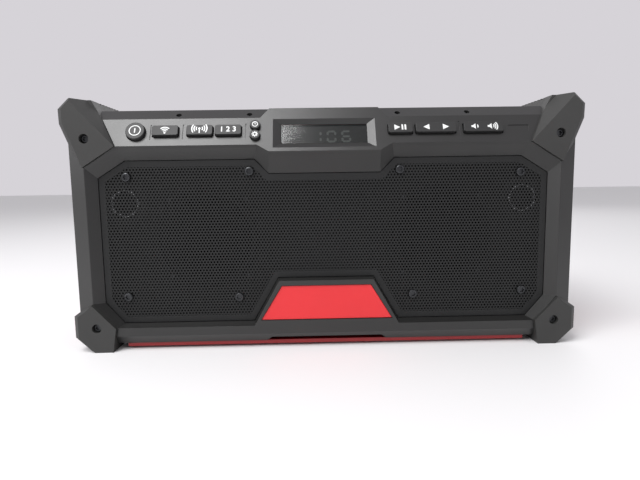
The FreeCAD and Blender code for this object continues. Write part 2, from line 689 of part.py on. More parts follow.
def lens_box(grow):
    """Outline of the display lens, grown by a gap."""
    across = "glass_x + lens_lap + " + grow
    return box("-(%s)" % across, across, "glass_low - lens_lap - " + grow, "glass_high + lens_lap + " + grow)


def badge_half(gap):
    """Half outline of the badge plate, grown by a gap."""
    return (
        ("badge_top_x + %s" % gap, "badge_top + %s" % gap),
        ("badge_low_x + %s" % gap, "badge_low - %s" % gap),
    )


def cut_funnel(body):
    """Cut the window with its sloped bezel faces."""
    inner = front_sketch(body, "window_y", both_sides(WINDOW))
    outer = front_sketch(body, "ridge_y - funnel_over", both_sides(LIP))
    doc.recompute()
    loft(body, "SubtractiveLoft", inner, outer)


def cut_corners(body, depth, length):
    """Clear the four places where bumpers sit."""
    for side in ("", "-"):
        for outline in (EAR, FOOT):
            pocket(body, front_sketch(body, depth, polygon(*on_side(side, outline))), length)


def four_places(across_one, up_one, across_two, up_two, radius):
    """Circles at two places and their mirror images."""
    circles = []
    for side in ("", "-"):
        circles.append(circle(side + across_one, up_one, radius))
        circles.append(circle(side + across_two, up_two, radius))
    return circles


def bumper_holes(radius):
    return four_places("bumper_screw_x", "ear_screw_z", "bumper_screw_x", "foot_screw_z", radius)


def grille_holes(radius):
    upper = four_places("corner_screw_x", "corner_screw_z", "mid_screw_x", "mid_screw_z", radius)
    lower = four_places("low_screw_x", "low_screw_z", "inner_screw_x", "inner_screw_z", radius)
    return upper + lower


def panel_holes(radius):
    return four_places("panel_screw_x", BROW_UP, "panel_screw_out_x", BROW_UP, radius)


def case_holes(radius):
    return four_places("case_screw_x", "case_screw_low", "case_screw_x", "case_screw_high", radius)


def front_frame():
    """Moulded front frame with the sloped bezel, the key well and the bottom bar."""
    body = new_body("front_frame")
    pad(body, front_sketch(body, "ridge_y", both_sides(SHELL_SIDE + ARCH)), "frame_back - ridge_y")
    chin = box("-pod_notch_x", "pod_notch_x", "pod_notch_low + panel_shell", "panel_low + well_low")
    pad(body, front_sketch(body, "0", chin), "ridge_y")
    for side in ("", "-"):
        chamfer = polygon(
            (side + "ridge_x", at_depth("ridge_y")),
            (side + "(2 * side_x - ridge_x)", at_depth("ridge_y")),
            (side + "(2 * side_x - ridge_x)", at_depth("2 * side_y - ridge_y")),
        )
        extrude(body, "Pocket", new_sketch(body, "XY_Plane", [chamfer]), "panel_top", True)
    under = polygon(
        (at_depth("ridge_y"), "bar_face_low"),
        (at_depth("bar_low_y"), "bar_low"),
        (at_depth("ridge_y"), "bar_low"),
    )
    wide_pocket(body, side_sketch(body, "0", under), "2 * side_x")
    over = polygon(
        on_slope("-2 * funnel_over", "panel_shell"),
        on_slope(FACE_INNER, "panel_shell"),
        on_brow(BROW_INNER, "panel_shell"),
        on_brow(BROW_INNER, "-2 * bumper_deep"),
        on_slope("-2 * funnel_over", "-2 * bumper_deep"),
    )
    wide_pocket(body, side_sketch(body, "0", over), "2 * side_x")
    cut_funnel(body)
    pocket(body, front_sketch(body, "window_y", both_sides(WINDOW)), "wall")
    cut_corners(body, "0", "bumper_deep")
    pocket(body, front_sketch(body, BAFFLE_Y, both_sides(lapped("baffle_lap + fit_gap"))), "frame_back")
    hollow = (
        ("corner_top_x - wall", FRAME_TOP + " - wall"),
        ("side_x - wall", "corner_top_z - wall"),
        ("side_x - wall", "corner_low_z + wall"),
        ("corner_low_x - wall", "bar_low + arch_rise + wall"),
    )
    pocket(body, front_sketch(body, "bumper_deep + gusset", both_sides(hollow)), "frame_back")
    well = polygon(
        on_slope("well_low", "0"),
        on_slope("well_low", "panel_shell"),
        (at_depth(BAFFLE_Y), "window_top + baffle_lap + fit_gap"),
        (at_depth("frame_back"), "window_top + baffle_lap + fit_gap"),
        (at_depth("frame_back"), FRAME_TOP + " - beam"),
        on_brow(BROW_BEAM, "panel_shell + beam"),
        on_brow("0", "panel_shell + beam"),
        on_slope(FACE_LONG + " - beam", "panel_shell"),
        on_slope(FACE_LONG + " - beam", "0"),
    )
    wide_pocket(body, side_sketch(body, "0", well), "2 * well_x")
    pocket(body, slope_sketch(body, "0", lens_box("fit_gap")), BOARD_H)
    pocket(body, front_sketch(body, "ridge_y", both_sides(badge_half("fit_gap"))), "badge_deep")
    screw_room = "panel_shell + panel_screw_long + fit_gap"
    pocket(body, brow_sketch(body, "0", *panel_holes("panel_screw_hole")), screw_room)
    pocket(body, front_sketch(body, "bumper_deep", *bumper_holes("bumper_screw_hole")), "gusset")
    boss_y = "(bumper_deep + gusset)"
    pad(body, front_sketch(body, boss_y, *case_holes("case_boss_r")), "frame_back - " + boss_y)
    pocket(body, front_sketch(body, boss_y, *case_holes("case_shank_r + fit_gap / 3")), "frame_back")


def key_outline(across, wide, grow, side_grow):
    """Outline of a four sided key with cut corners, grown by a margin above, below and beside."""
    left = "%s - %s / 2 - (%s)" % (across, wide, side_grow)
    right = "%s + %s / 2 + (%s)" % (across, wide, side_grow)
    low = "key_row - key_tall / 2 - (%s)" % grow
    high = "key_row + key_tall / 2 + (%s)" % grow
    return polygon(
        (left + " + key_corner", low),
        (right + " - key_corner", low),
        (right, low + " + key_corner"),
        (right, high + " - key_corner"),
        (right + " - key_corner", high),
        (left + " + key_corner", high),
        (left, high + " - key_corner"),
        (left, low + " + key_corner"),
    )


def key_shape(key, grow):
    """Outline of any key: a round one has its radius as its width and an offset up the slope."""
    label, across, wide, offset = key
    if offset is None:
        return key_outline(across, wide, grow, grow)
    return circle(across, "key_row + %s" % offset, "%s + %s" % (wide, grow))


def flange_shape(key):
    """Outline of a key's flange, kept narrow where the next key is close."""
    label, across, wide, offset = key
    if offset is None:
        return key_outline(across, wide, "key_gap + key_flange", "key_gap + side_flange")
    if wide != "dot_r":
        return circle(across, "key_row + %s" % offset, "%s + key_gap + key_flange" % wide)
    reach = "dot_r + key_gap + key_flange"
    half = "dot_rise - side_flange"
    middle = "key_row + %s" % offset
    return box(
        "%s - (%s)" % (across, reach),
        "%s + %s" % (across, reach),
        "%s - (%s)" % (middle, half),
        "%s + %s" % (middle, half),
    )


PUSH_KEYS = (
    ("power_key", "power_x", "power_r", "0"),
    ("wireless_key", "radio_x", "wide_key", None),
    ("band_key", "band_x", "wide_key", None),
    ("preset_key", "preset_x", "wide_key", None),
    ("clock_key", "dot_x", "dot_r", "dot_rise"),
    ("settings_key", "dot_x", "dot_r", "-dot_rise"),
    ("play_key", "play_x", "play_wide", None),
)
ROCKER_KEYS = (
    ("track_rocker", "track_x", "track_wide", None),
    ("volume_rocker", "volume_x", "volume_wide", None),
)
SLOTS = ("slot_one_x", "slot_two_x", "slot_three_x", "slot_four_x")
POSTS = (
    ("-post_left_x", "post_left_up"),
    ("-post_x", "key_row"),
    ("post_x", "key_row"),
    ("post_right_x", "key_row"),
)


def control_panel():
    """Sloped key panel with its raised pod, key openings and screw holes."""
    body = new_body("control_panel")
    shell = polygon(
        on_slope("-2 * funnel_over", "0"),
        (at_depth("crease_y"), CREASE_Z),
        on_brow(BROW_LONG, "0"),
        (at_depth("panel_back"), "panel_top"),
        (at_depth("panel_back"), FRAME_TOP),
        on_brow(BROW_INNER, "panel_shell"),
        on_slope(FACE_INNER, "panel_shell"),
        on_slope("-2 * funnel_over", "panel_shell"),
    )
    wide_pad(body, side_sketch(body, "0", shell), "2 * corner_top_x")
    pod = polygon(
        ("-pod_x", CREASE_Z),
        ("pod_x", CREASE_Z),
        ("pod_top_x", "panel_top"),
        ("-pod_top_x", "panel_top"),
    )
    pad(body, front_sketch(body, "crease_y", pod), "panel_back - crease_y")
    face_to_top = "((panel_top - panel_low) / cos(panel_tilt))"
    over_pod = polygon(
        on_slope(FACE_LONG + " - beam", "0"),
        on_slope(face_to_top, "0"),
        on_slope(face_to_top, "-bumper_deep"),
        on_slope(FACE_LONG + " - beam", "-bumper_deep"),
    )
    wide_pocket(body, side_sketch(body, "0", over_pod), "2 * pod_x + 1")
    under_pod = polygon(
        (at_depth(CREASE_Y_BACK), CREASE_Z + " - panel_shell"),
        on_slope(FACE_INNER, "panel_shell"),
        on_brow(BROW_INNER, "panel_shell"),
        (at_depth("panel_back"), FRAME_TOP),
        (at_depth("panel_back"), CREASE_Z + " - panel_shell"),
    )
    wide_pocket(body, side_sketch(body, "0", under_pod), "2 * pod_x + 1")
    cut_funnel(body)
    for side in ("", "-"):
        pocket(body, front_sketch(body, "0", polygon(*on_side(side, EAR))), "bumper_deep")
    recess = box("-recess_x", "recess_x", "recess_low", "recess_high")
    window = box("-glass_x", "glass_x", "glass_low", "glass_high")
    outer = slope_sketch(body, "0", recess)
    inner = slope_sketch(body, "-panel_shell", window)
    doc.recompute()
    loft(body, "SubtractiveLoft", outer, inner)
    openings = [key_shape(key, "key_gap") for key in PUSH_KEYS + ROCKER_KEYS]
    pocket(body, slope_sketch(body, "0", *openings), "panel_shell")
    slots = []
    for across in SLOTS:
        low = "key_row - slot_tall / 2"
        slots.append(box(across + " - slot_wide / 2", across + " + slot_wide / 2", low, low + " + slot_tall"))
    pocket(body, slope_sketch(body, "0", *slots), "slot_deep")
    label_low = "key_row - label_tall / 2"
    label_high = label_low + " + label_tall"
    label = box("label_x - label_wide / 2", "label_x + label_wide / 2", label_low, label_high)
    pocket(body, slope_sketch(body, "0", label), "label_deep")
    pocket(body, brow_sketch(body, "0", *panel_holes("panel_screw_r")), "panel_shell")
    posts = [circle(across, up, "post_r") for across, up in POSTS]
    pad(body, slope_sketch(body, "-panel_shell", *posts), BOARD_H + " - panel_shell")


def push_keys():
    """Keys that move straight in, each with a flange that keeps it in the panel."""
    for key in PUSH_KEYS:
        body = new_body(key[0])
        pad(body, slope_sketch(body, "key_proud", key_shape(key, "0")), "key_proud + " + FLANGE_H)
        pad(body, slope_sketch(body, "-" + FLANGE_H, flange_shape(key)), "flange_thick")


def rocker_keys():
    """Keys that tip to either side round a line up the slope."""
    for key in ROCKER_KEYS:
        body = new_body(key[0])
        flange_h = "(panel_shell + rocker_gap)"
        pad(body, slope_sketch(body, "key_proud", key_shape(key, "0")), "key_proud + " + flange_h)
        pad(body, slope_sketch(body, "-" + flange_h, flange_shape(key)), "flange_thick")


def key_electronics():
    """Display lens and module, rubber key mat and key board, stacked behind the panel."""
    lens = new_body("display_lens")
    pad(lens, slope_sketch(lens, "-panel_shell", lens_box("0")), "lens_thick")
    module = new_body("display_module")
    module_box = box("-glass_x", "glass_x", "glass_low", "glass_high")
    module_h = "(panel_shell + lens_thick)"
    pad(module, slope_sketch(module, "-" + module_h, module_box), BOARD_H + " - " + module_h)
    mat = new_body("key_mat")
    outline = box("-board_x", "board_x", "board_low", "board_high")
    opening_x = "glass_x + lens_lap + fit_gap"
    pad(mat, slope_sketch(mat, "-" + MAT_H, outline), "membrane_thick")
    display = box("-(%s)" % opening_x, opening_x, "board_low - fit_gap", "board_high + fit_gap")
    posts = [circle(across, up, "post_r + fit_gap") for across, up in POSTS]
    pocket(mat, slope_sketch(mat, "-" + MAT_H, display, *posts), "membrane_thick")
    board = new_body("key_board")
    pad(board, slope_sketch(board, "-" + BOARD_H, outline), "board_thick")


def panel_screws():
    """Four small screws sunk in the facet above the keys."""
    body = new_body("panel_screws")
    head = panel_holes("panel_screw_r - fit_gap")
    top = "-(panel_shell - panel_screw_head)"
    pad(body, brow_sketch(body, top, *head), "panel_screw_head")
    shank = panel_holes("panel_screw_hole - fit_gap / 3")
    pad(body, brow_sketch(body, "-panel_shell", *shank), "panel_screw_long")


def inside_window():
    """Half outline of a sheet that lies in the window with an even gap."""
    return (
        ("pod_notch_low_x", "pod_notch_low - fit_gap"),
        ("pod_notch_x + fit_gap", "window_top - fit_gap"),
        ("window_top_x - fit_gap / 3", "window_top - fit_gap"),
        ("window_x - fit_gap", "window_side_top - fit_gap / 2"),
        ("window_x - fit_gap", "window_side_low + fit_gap / 2"),
        ("window_low_x - fit_gap / 3", "window_low + fit_gap"),
        ("badge_notch_x + fit_gap", "window_low + fit_gap"),
        ("badge_notch_top_x", "badge_notch_top + fit_gap"),
    )


def grille_and_baffle():
    """Steel grille over a board that carries the drivers."""
    grille = new_body("grille")
    pad(grille, front_sketch(grille, "grille_y", both_sides(inside_window())), "grille_thick")
    pocket(grille, front_sketch(grille, "grille_y", *grille_holes("grille_screw_hole")), "grille_thick")
    baffle = new_body("speaker_baffle")
    pad(baffle, front_sketch(baffle, BAFFLE_Y, both_sides(lapped("baffle_lap"))), "baffle_thick")
    for side in ("", "-"):
        corner = front_sketch(baffle, BAFFLE_Y, polygon(*on_side(side, FOOT)))
        pocket(baffle, corner, "baffle_thick")
    holes = grille_holes("grille_screw_hole")
    for side in ("", "-"):
        holes.append(circle(side + "woofer_x", "woofer_z", "woofer_hole"))
        holes.append(circle(side + "tweeter_x", "tweeter_z", "tweeter_r + fit_gap"))
    holes += driver_holes("driver_screw_r + fit_gap / 3")
    pocket(baffle, front_sketch(baffle, BAFFLE_Y, *holes), "baffle_thick")
    screws = new_body("grille_screws")
    head_y = "grille_y - grille_screw_head"
    pad(screws, front_sketch(screws, head_y, *grille_holes("grille_screw_r")), "grille_screw_head")
    shank = grille_holes("grille_screw_hole - fit_gap / 3")
    pad(screws, front_sketch(screws, "grille_y", *shank), "grille_screw_long")


def badge_plate():
    """Bare metal plate in the recess of the lower bezel."""
    body = new_body("badge_plate")
    face = "ridge_y + badge_deep - badge_thick"
    pad(body, front_sketch(body, face, both_sides(badge_half("0"))), "badge_thick")


def driver_holes(radius):
    """Circles for the four screws round each woofer."""
    holes = []
    reach = "(woofer_rim - driver_screw_in) * cos(45)"
    for side in ("", "-"):
        for across in ("+", "-"):
            for up in ("+", "-"):
                place = "%swoofer_x %s %s" % (side, across, reach)
                holes.append(circle(place, "woofer_z %s %s" % (up, reach), radius))
    return holes


def drivers():
    """Two woofers and two tweeters, turned round their own axes."""
    for side, name in (("-", "left"), ("", "right")):
        basket = new_body("woofer_basket_" + name)
        back = BAFFLE_BACK
        profile = polygon(
            (back, "woofer_hole - basket_wall"),
            (back, "woofer_rim"),
            (back + " + basket_wall", "woofer_rim"),
            (back + " + basket_wall", "woofer_hole"),
            (back + " + woofer_deep", "magnet_r"),
            (back + " + woofer_deep", "woofer_coil + fit_gap"),
            (back + " + woofer_deep - basket_wall", "woofer_coil + fit_gap"),
            (back + " + woofer_deep - basket_wall", "magnet_r - basket_wall"),
            (back + " + basket_wall", "woofer_hole - basket_wall"),
        )
        turned(basket, side + "woofer_x", "woofer_z", profile)
        screw_hole = driver_holes("driver_screw_r + fit_gap / 3")
        near = [hole for hole in screw_hole if hole[1][0].startswith("-") == bool(side)]
        pocket(basket, front_sketch(basket, back, *near), "basket_wall")
        magnet = new_body("woofer_magnet_" + name)
        turned(magnet, side + "woofer_x", "woofer_z", polygon(
            (back + " + woofer_deep", "0"),
            (back + " + woofer_deep", "magnet_r"),
            (back + " + woofer_deep + magnet_deep", "magnet_r"),
            (back + " + woofer_deep + magnet_deep", "0"),
        ))
        cone = new_body("woofer_cone_" + name)
        turned(cone, side + "woofer_x", "woofer_z", polygon(
            (back, "woofer_cone"),
            (back + " + woofer_dish", "woofer_coil"),
            (back + " + woofer_dish - cap_rise", "0"),
            (back + " + woofer_dish - cap_rise + cone_wall", "0"),
            (back + " + woofer_dish + cone_wall", "woofer_coil"),
            (back + " + cone_wall", "woofer_cone"),
        ))
        surround = new_body("woofer_surround_" + name)
        turned(surround, side + "woofer_x", "woofer_z", polygon(
            (back, "woofer_cone"),
            (back + " - roll_rise", "(woofer_cone + woofer_hole) / 2 - roll_rise / 2"),
            (back + " - roll_rise", "(woofer_cone + woofer_hole) / 2 + roll_rise / 2"),
            (back, "woofer_hole - basket_wall"),
            (back + " + cone_wall", "woofer_hole - basket_wall"),
            (back + " - roll_rise + cone_wall", "(woofer_cone + woofer_hole) / 2"),
            (back + " + cone_wall", "woofer_cone"),
        ))
    screws = new_body("driver_screws")
    pad(screws, front_sketch(screws, BAFFLE_Y, *driver_holes("driver_screw_r")), "baffle_thick + basket_wall")
    heads = driver_holes("driver_screw_r * 1.8")
    pad(screws, front_sketch(screws, BAFFLE_BACK + " + basket_wall", *heads), "driver_screw_r")
    frames = new_body("tweeter_frames")
    domes = new_body("tweeter_domes")
    for side in ("", "-"):
        turned(frames, side + "tweeter_x", "tweeter_z", polygon(
            (BAFFLE_Y, "tweeter_hole"),
            (BAFFLE_Y, "tweeter_r"),
            (BAFFLE_Y + " + tweeter_deep", "tweeter_r"),
            (BAFFLE_Y + " + tweeter_deep", "0"),
            (BAFFLE_Y + " + tweeter_deep / 2", "0"),
            (BAFFLE_Y + " + tweeter_deep / 2", "tweeter_dome"),
        ))
        turned(domes, side + "tweeter_x", "tweeter_z", polygon(
            (BAFFLE_Y + " + tweeter_deep / 2", "0"),
            (BAFFLE_Y + " + tweeter_deep / 2", "tweeter_dome - fit_gap"),
            (BAFFLE_Y + " + tweeter_deep / 2 - tweeter_dome / 4", "tweeter_dome * 0.8"),
            (BAFFLE_Y + " + tweeter_deep / 2 - tweeter_dome / 2", "0"),
        ))


def drawn_in(outline):
    """Outline of a bumper's face, drawn in along its outer side."""
    outer = ("ear_out_x", "ear_side_x", "ear_low_x", "ear_heel_x")
    outer += ("foot_shoulder_x", "foot_side_x", "foot_out_x")
    return [(across + " - bumper_edge" if across in outer else across, up) for across, up in outline]


def cut_ear_facet(body, side):
    """Slope the upper bumper's inner face back towards the seam."""
    run = "((facet_x - ear_toe_x) / (facet_z - ear_toe_z))"
    shift = "(seam_x - facet_x + (facet_z - seam_z) * %s)" % run
    low = "(ear_toe_z - facet_sink)"
    high = "(ear_top + facet_sink)"
    outlines = []
    for slide in ("0", shift):
        outlines.append(polygon(*on_side(side, (
            ("ear_toe_x - facet_sink * %s + %s" % (run, slide), low),
            ("facet_x + (%s - facet_z) * %s + %s" % (high, run, slide), high),
            ("ear_toe_x - 2 * bumper_deep", high),
            ("ear_toe_x - 2 * bumper_deep", low),
        ))))
    first = front_sketch(body, "0", outlines[0])
    second = front_sketch(body, "facet_sink", outlines[1])
    doc.recompute()
    loft(body, "SubtractiveLoft", first, second)


def bumper(label, side, outline, rear):
    """One faceted corner bumper with its sunk screw hole."""
    body = new_body(label)
    start = "depth - bumper_deep" if rear else "0"
    face = "depth" if rear else "0"
    way = "-" if rear else "+"
    edge = "%s %s bumper_edge" % (face, way)
    first = front_sketch(body, face, polygon(*on_side(side, drawn_in(outline))))
    second = front_sketch(body, edge, polygon(*on_side(side, outline)))
    doc.recompute()
    loft(body, "AdditiveLoft", first, second)
    trunk = "depth - bumper_deep" if rear else "bumper_edge"
    pad(body, front_sketch(body, trunk, polygon(*on_side(side, outline))), "bumper_deep - bumper_edge")
    if outline is EAR and not rear:
        cut_ear_facet(body, side)
    up = "ear_screw_z" if outline is EAR else "foot_screw_z"
    place = circle(side + "bumper_screw_x", up, "bumper_recess")
    recess_y = "depth - bumper_recess_deep" if rear else "0"
    pocket(body, front_sketch(body, recess_y, place), "bumper_recess_deep")
    hole = circle(side + "bumper_screw_x", up, "bumper_screw_hole")
    pocket(body, front_sketch(body, start, hole), "bumper_deep")


def bumpers():
    """Eight corner bumpers and their screws."""
    for side, name in (("-", "left"), ("", "right")):
        bumper("front_upper_bumper_" + name, side, EAR, False)
        bumper("front_foot_" + name, side, FOOT, False)
        bumper("rear_upper_bumper_" + name, side, EAR, True)
        bumper("rear_foot_" + name, side, FOOT, True)
    front = new_body("front_bumper_screws")
    head = bumper_holes("bumper_recess - fit_gap")
    pad(front, front_sketch(front, "bumper_recess_deep - bumper_head", *head), "bumper_head")
    shank = bumper_holes("bumper_screw_hole - fit_gap / 3")
    pad(front, front_sketch(front, "bumper_recess_deep", *shank), "bumper_deep - bumper_recess_deep + gusset")
    rear = new_body("rear_bumper_screws")
    pad(rear, front_sketch(rear, "depth - bumper_recess_deep", *head), "bumper_head")
    start = "depth - bumper_deep - gusset"
    pad(rear, front_sketch(rear, start, *shank), "bumper_deep + gusset - bumper_recess_deep")


def side_rails():
    """Ribbed rails that join the front and rear upper bumpers."""
    for side, name in (("-", "left"), ("", "right")):
        body = new_body("side_rail_" + name)
        section = (
            ("ear_out_x", "ear_top"),
            ("ear_side_x", "ear_side_z"),
            ("ear_low_x", "ear_low_z"),
            ("side_x", "corner_top_z + (ear_low_x - side_x)"),
            ("side_x", "corner_top_z"),
            ("corner_top_x", FRAME_TOP),
            ("ear_in_x", "ear_top"),
        )
        long_way = "depth - 2 * bumper_deep"
        pad(body, front_sketch(body, "bumper_deep", polygon(*on_side(side, section))), long_way)
        groove = (
            ("ear_in_x - rib_deep", "ear_top"),
            ("ear_out_x", "ear_top"),
            ("ear_side_x", "ear_side_z"),
            ("ear_low_x", "ear_low_z"),
            ("ear_low_x - rib_deep", "ear_low_z"),
            ("ear_side_x - rib_deep", "ear_side_z - rib_deep / 2"),
            ("ear_out_x - rib_deep / 2", "ear_top - rib_deep"),
            ("ear_in_x - rib_deep", "ear_top - rib_deep"),
        )
        start = "bumper_deep + rib_pitch"
        cut = pocket(body, front_sketch(body, start, polygon(*on_side(side, groove))), "rib_wide")
        pattern = body.newObject("PartDesign::LinearPattern", body.Name + "_ribs")
        pattern.Originals = [cut]
        pattern.Direction = (origin_plane(body, "Y_Axis"), [""])
        count = "floor((depth - 2 * bumper_deep - 2 * rib_pitch) / rib_pitch)"
        pattern.setExpression("Occurrences", named(count))
        pattern.setExpression("Length", named("rib_pitch * (%s - 1)" % count))
        body.Tip = pattern
        doc.recompute()


def rear_housing():
    """Red housing with a hand space behind the panel, a battery bay and a tray lip."""
    body = new_body("rear_housing")
    pad(body, front_sketch(body, "frame_back", both_sides(SHELL_SIDE)), "housing_back - frame_back")
    hand = box("-grip_x", "grip_x", "grip_low", "panel_top")
    pocket(body, front_sketch(body, "bridge_back", hand), "housing_back")
    front_room = (
        ("corner_top_x - wall", FRAME_TOP + " - wall"),
        ("side_x - wall", "corner_top_z - wall"),
        ("side_x - wall", "corner_low_z + wall"),
        ("corner_low_x - wall", "bar_low + wall"),
    )
    room = (("grip_x + wall", "grip_low - wall"), ("grip_x + wall", FRAME_TOP + " - wall")) + front_room
    pocket(body, front_sketch(body, "frame_back", both_sides(front_room)), "bridge_back - wall - frame_back")
    rear_of_room = "(depth - bumper_deep - gusset)"
    pocket(body, front_sketch(body, "frame_back", both_sides(room)), rear_of_room + " - frame_back")
    rear_room = box("-grip_x", "grip_x", "foot_apex_z", "grip_low - wall")
    pocket(body, front_sketch(body, "frame_back", rear_room), "housing_back - wall - frame_back")
    tray = box("-tray_x", "tray_x", "tray_low", "bar_low")
    pad(body, front_sketch(body, "tray_y", tray), "housing_back - tray_y")
    for side in ("", "-"):
        for outline in (EAR, FOOT):
            cut = front_sketch(body, "depth - bumper_deep", polygon(*on_side(side, outline)))
            pocket(body, cut, "bumper_deep")
    posts = case_holes("case_boss_r")
    pad(body, front_sketch(body, "frame_back", *posts), "housing_back - frame_back")
    pocket(body, front_sketch(body, "case_head_y", *case_holes("case_screw_r + fit_gap")), "housing_back")
    shank = case_holes("case_shank_r + fit_gap / 3")
    pocket(body, front_sketch(body, "frame_back", *shank), "housing_back")
    bosses = front_sketch(body, "depth - bumper_deep - gusset", *bumper_holes("bumper_screw_hole"))
    pocket(body, bosses, "gusset")
    dock = dock_box("pack_gap + dock_wall")
    ports = port_box("port_wall")
    pocket(body, front_sketch(body, rear_of_room, dock, ports), "housing_back - " + rear_of_room)
    ends = [circle(at_depth(HANDLE_Y), HANDLE_Z, "handle_screw_r - handle_thread + fit_gap / 3")]
    for across in ("grip_x", "-grip_x - wall"):
        hole = side_sketch(body, across, *ends)
        extrude(body, "Pocket", hole, "wall", True)


def handle():
    """Handle bar across the hand space, with one screw at each end."""
    body = new_body("handle_bar")
    low = "bar_low_z"
    high = "bar_low_z + bar_tall"
    near = at_depth("bar_y")
    far = at_depth("bar_y + bar_deep")
    section = polygon(
        (near + " + bar_corner", low),
        (far + " - bar_corner", low),
        (far, low + " + bar_corner"),
        (far, high + " - bar_corner"),
        (far + " - bar_corner", high),
        (near + " + bar_corner", high),
        (near, high + " - bar_corner"),
        (near, low + " + bar_corner"),
    )
    wide_pad(body, side_sketch(body, "0", section), "2 * grip_x")
    screws = new_body("handle_screws")
    thread = circle(at_depth(HANDLE_Y), HANDLE_Z, "handle_screw_r - handle_thread")
    bore = circle(at_depth(HANDLE_Y), HANDLE_Z, "handle_screw_r - handle_thread + fit_gap / 3")
    head = circle(at_depth(HANDLE_Y), HANDLE_Z, "handle_screw_r")
    for side, reverse in (("", False), ("-", True)):
        start = side + "(grip_x - handle_screw_long)"
        extrude(body, "Pocket", side_sketch(body, start, bore), "handle_screw_long", not reverse)
        long_way = "handle_screw_long + wall"
        extrude(screws, "Pad", side_sketch(screws, start, thread), long_way, reverse)
        outer = side_sketch(screws, side + "(grip_x + wall)", head)
        extrude(screws, "Pad", outer, "handle_screw_r", reverse)


def case_screws():
    """Long screws that hold the housing to the front frame."""
    body = new_body("case_screws")
    pad(body, front_sketch(body, "case_head_y", *case_holes("case_screw_r")), "case_screw_head")
    start = "frame_back - case_screw_bite"
    shank = front_sketch(body, start, *case_holes("case_shank_r"))
    pad(body, shank, "case_head_y - frame_back + case_screw_bite")


def dock_box(grow):
    """Outline of the battery bay, grown from the pack."""
    across = "pack_x + " + grow
    return box("-(%s)" % across, across, "pack_low - (%s)" % grow, "pack_low + pack_tall + " + grow)


def battery():
    """Battery dock with its rails and blades, the pack that slides in and its release button."""
    dock = new_body("battery_dock")
    floor_y = "pack_y - pack_gap - dock_wall"
    pad(dock, front_sketch(dock, floor_y, dock_box("pack_gap + dock_wall")), "housing_back - (%s)" % floor_y)
    pocket(dock, front_sketch(dock, "pack_y - pack_gap", dock_box("pack_gap")), "housing_back")
    studs = four_places("stud_x", "stud_low", "stud_x", "stud_high", "stud_r")
    stud_y = "main_board_y + board_thick"
    pad(dock, front_sketch(dock, stud_y, *studs), "%s - (%s)" % (floor_y, stud_y))
    rails = []
    grooves = []
    for side in ("", "-"):
        rails.append(polygon(*on_side(side, (
            ("pack_x + pack_gap", "rail_z"),
            ("pack_x + pack_gap", "rail_z + rail_tall"),
            ("pack_x + pack_gap - rail_wide", "rail_z + rail_tall"),
            ("pack_x + pack_gap - rail_wide", "rail_z"),
        ))))
        grooves.append(polygon(*on_side(side, (
            ("pack_x", "rail_z - rail_gap"),
            ("pack_x", "rail_z + rail_tall + rail_gap"),
            ("pack_x + pack_gap - rail_wide - rail_gap", "rail_z + rail_tall + rail_gap"),
            ("pack_x + pack_gap - rail_wide - rail_gap", "rail_z - rail_gap"),
        ))))
    pad(dock, front_sketch(dock, "pack_y - pack_gap", *rails), "housing_back - wall - pack_y")
    pack = new_body("battery_pack")
    pad(pack, front_sketch(pack, "pack_y", dock_box("0")), "pack_deep")
    pocket(pack, front_sketch(pack, "pack_y", *grooves), "housing_back - pack_y")
    blades = []
    slots = []
    for side in ("", "-"):
        for outlines, grow in ((blades, "0"), (slots, "blade_gap")):
            outlines.append(box(
                "%sblade_x - blade_thick / 2 - %s" % (side, grow),
                "%sblade_x + blade_thick / 2 + %s" % (side, grow),
                "blade_z - blade_tall / 2 - %s" % grow,
                "blade_z + blade_tall / 2 + %s" % grow,
            ))
    pocket(pack, front_sketch(pack, "pack_y", *slots), "blade_long + blade_gap")
    terminals = new_body("battery_blades")
    pad(terminals, front_sketch(terminals, "pack_y - pack_gap", *blades), "blade_long")
    well = box(
        "-latch_x - latch_gap",
        "latch_x + latch_gap",
        "latch_z - latch_gap",
        "latch_z + latch_tall + latch_gap",
    )
    well_y = "pack_y + pack_deep - latch_sink"
    pocket(pack, front_sketch(pack, well_y, well), "latch_sink")
    button = new_body("release_button")
    face = box("-latch_x", "latch_x", "latch_z", "latch_z + latch_tall")
    pad(button, front_sketch(button, well_y + " + latch_travel + latch_gap", face), "latch_sink - latch_gap")
    board = new_body("main_board")
    area = box("-main_board_x", "main_board_x", "main_board_low", "main_board_low + main_board_tall")
    pad(board, front_sketch(board, "main_board_y", area), "board_thick")


def port_box(grow):
    """Outline of the port block round its recess and hinge apron."""
    low = HINGE_Z + " - knuckle_r - %s" % grow
    high = "port_z + port_tall / 2 + %s" % grow
    return box("port_x - port_wide / 2 - %s" % grow, "port_x + port_wide / 2 + %s" % grow, low, high)


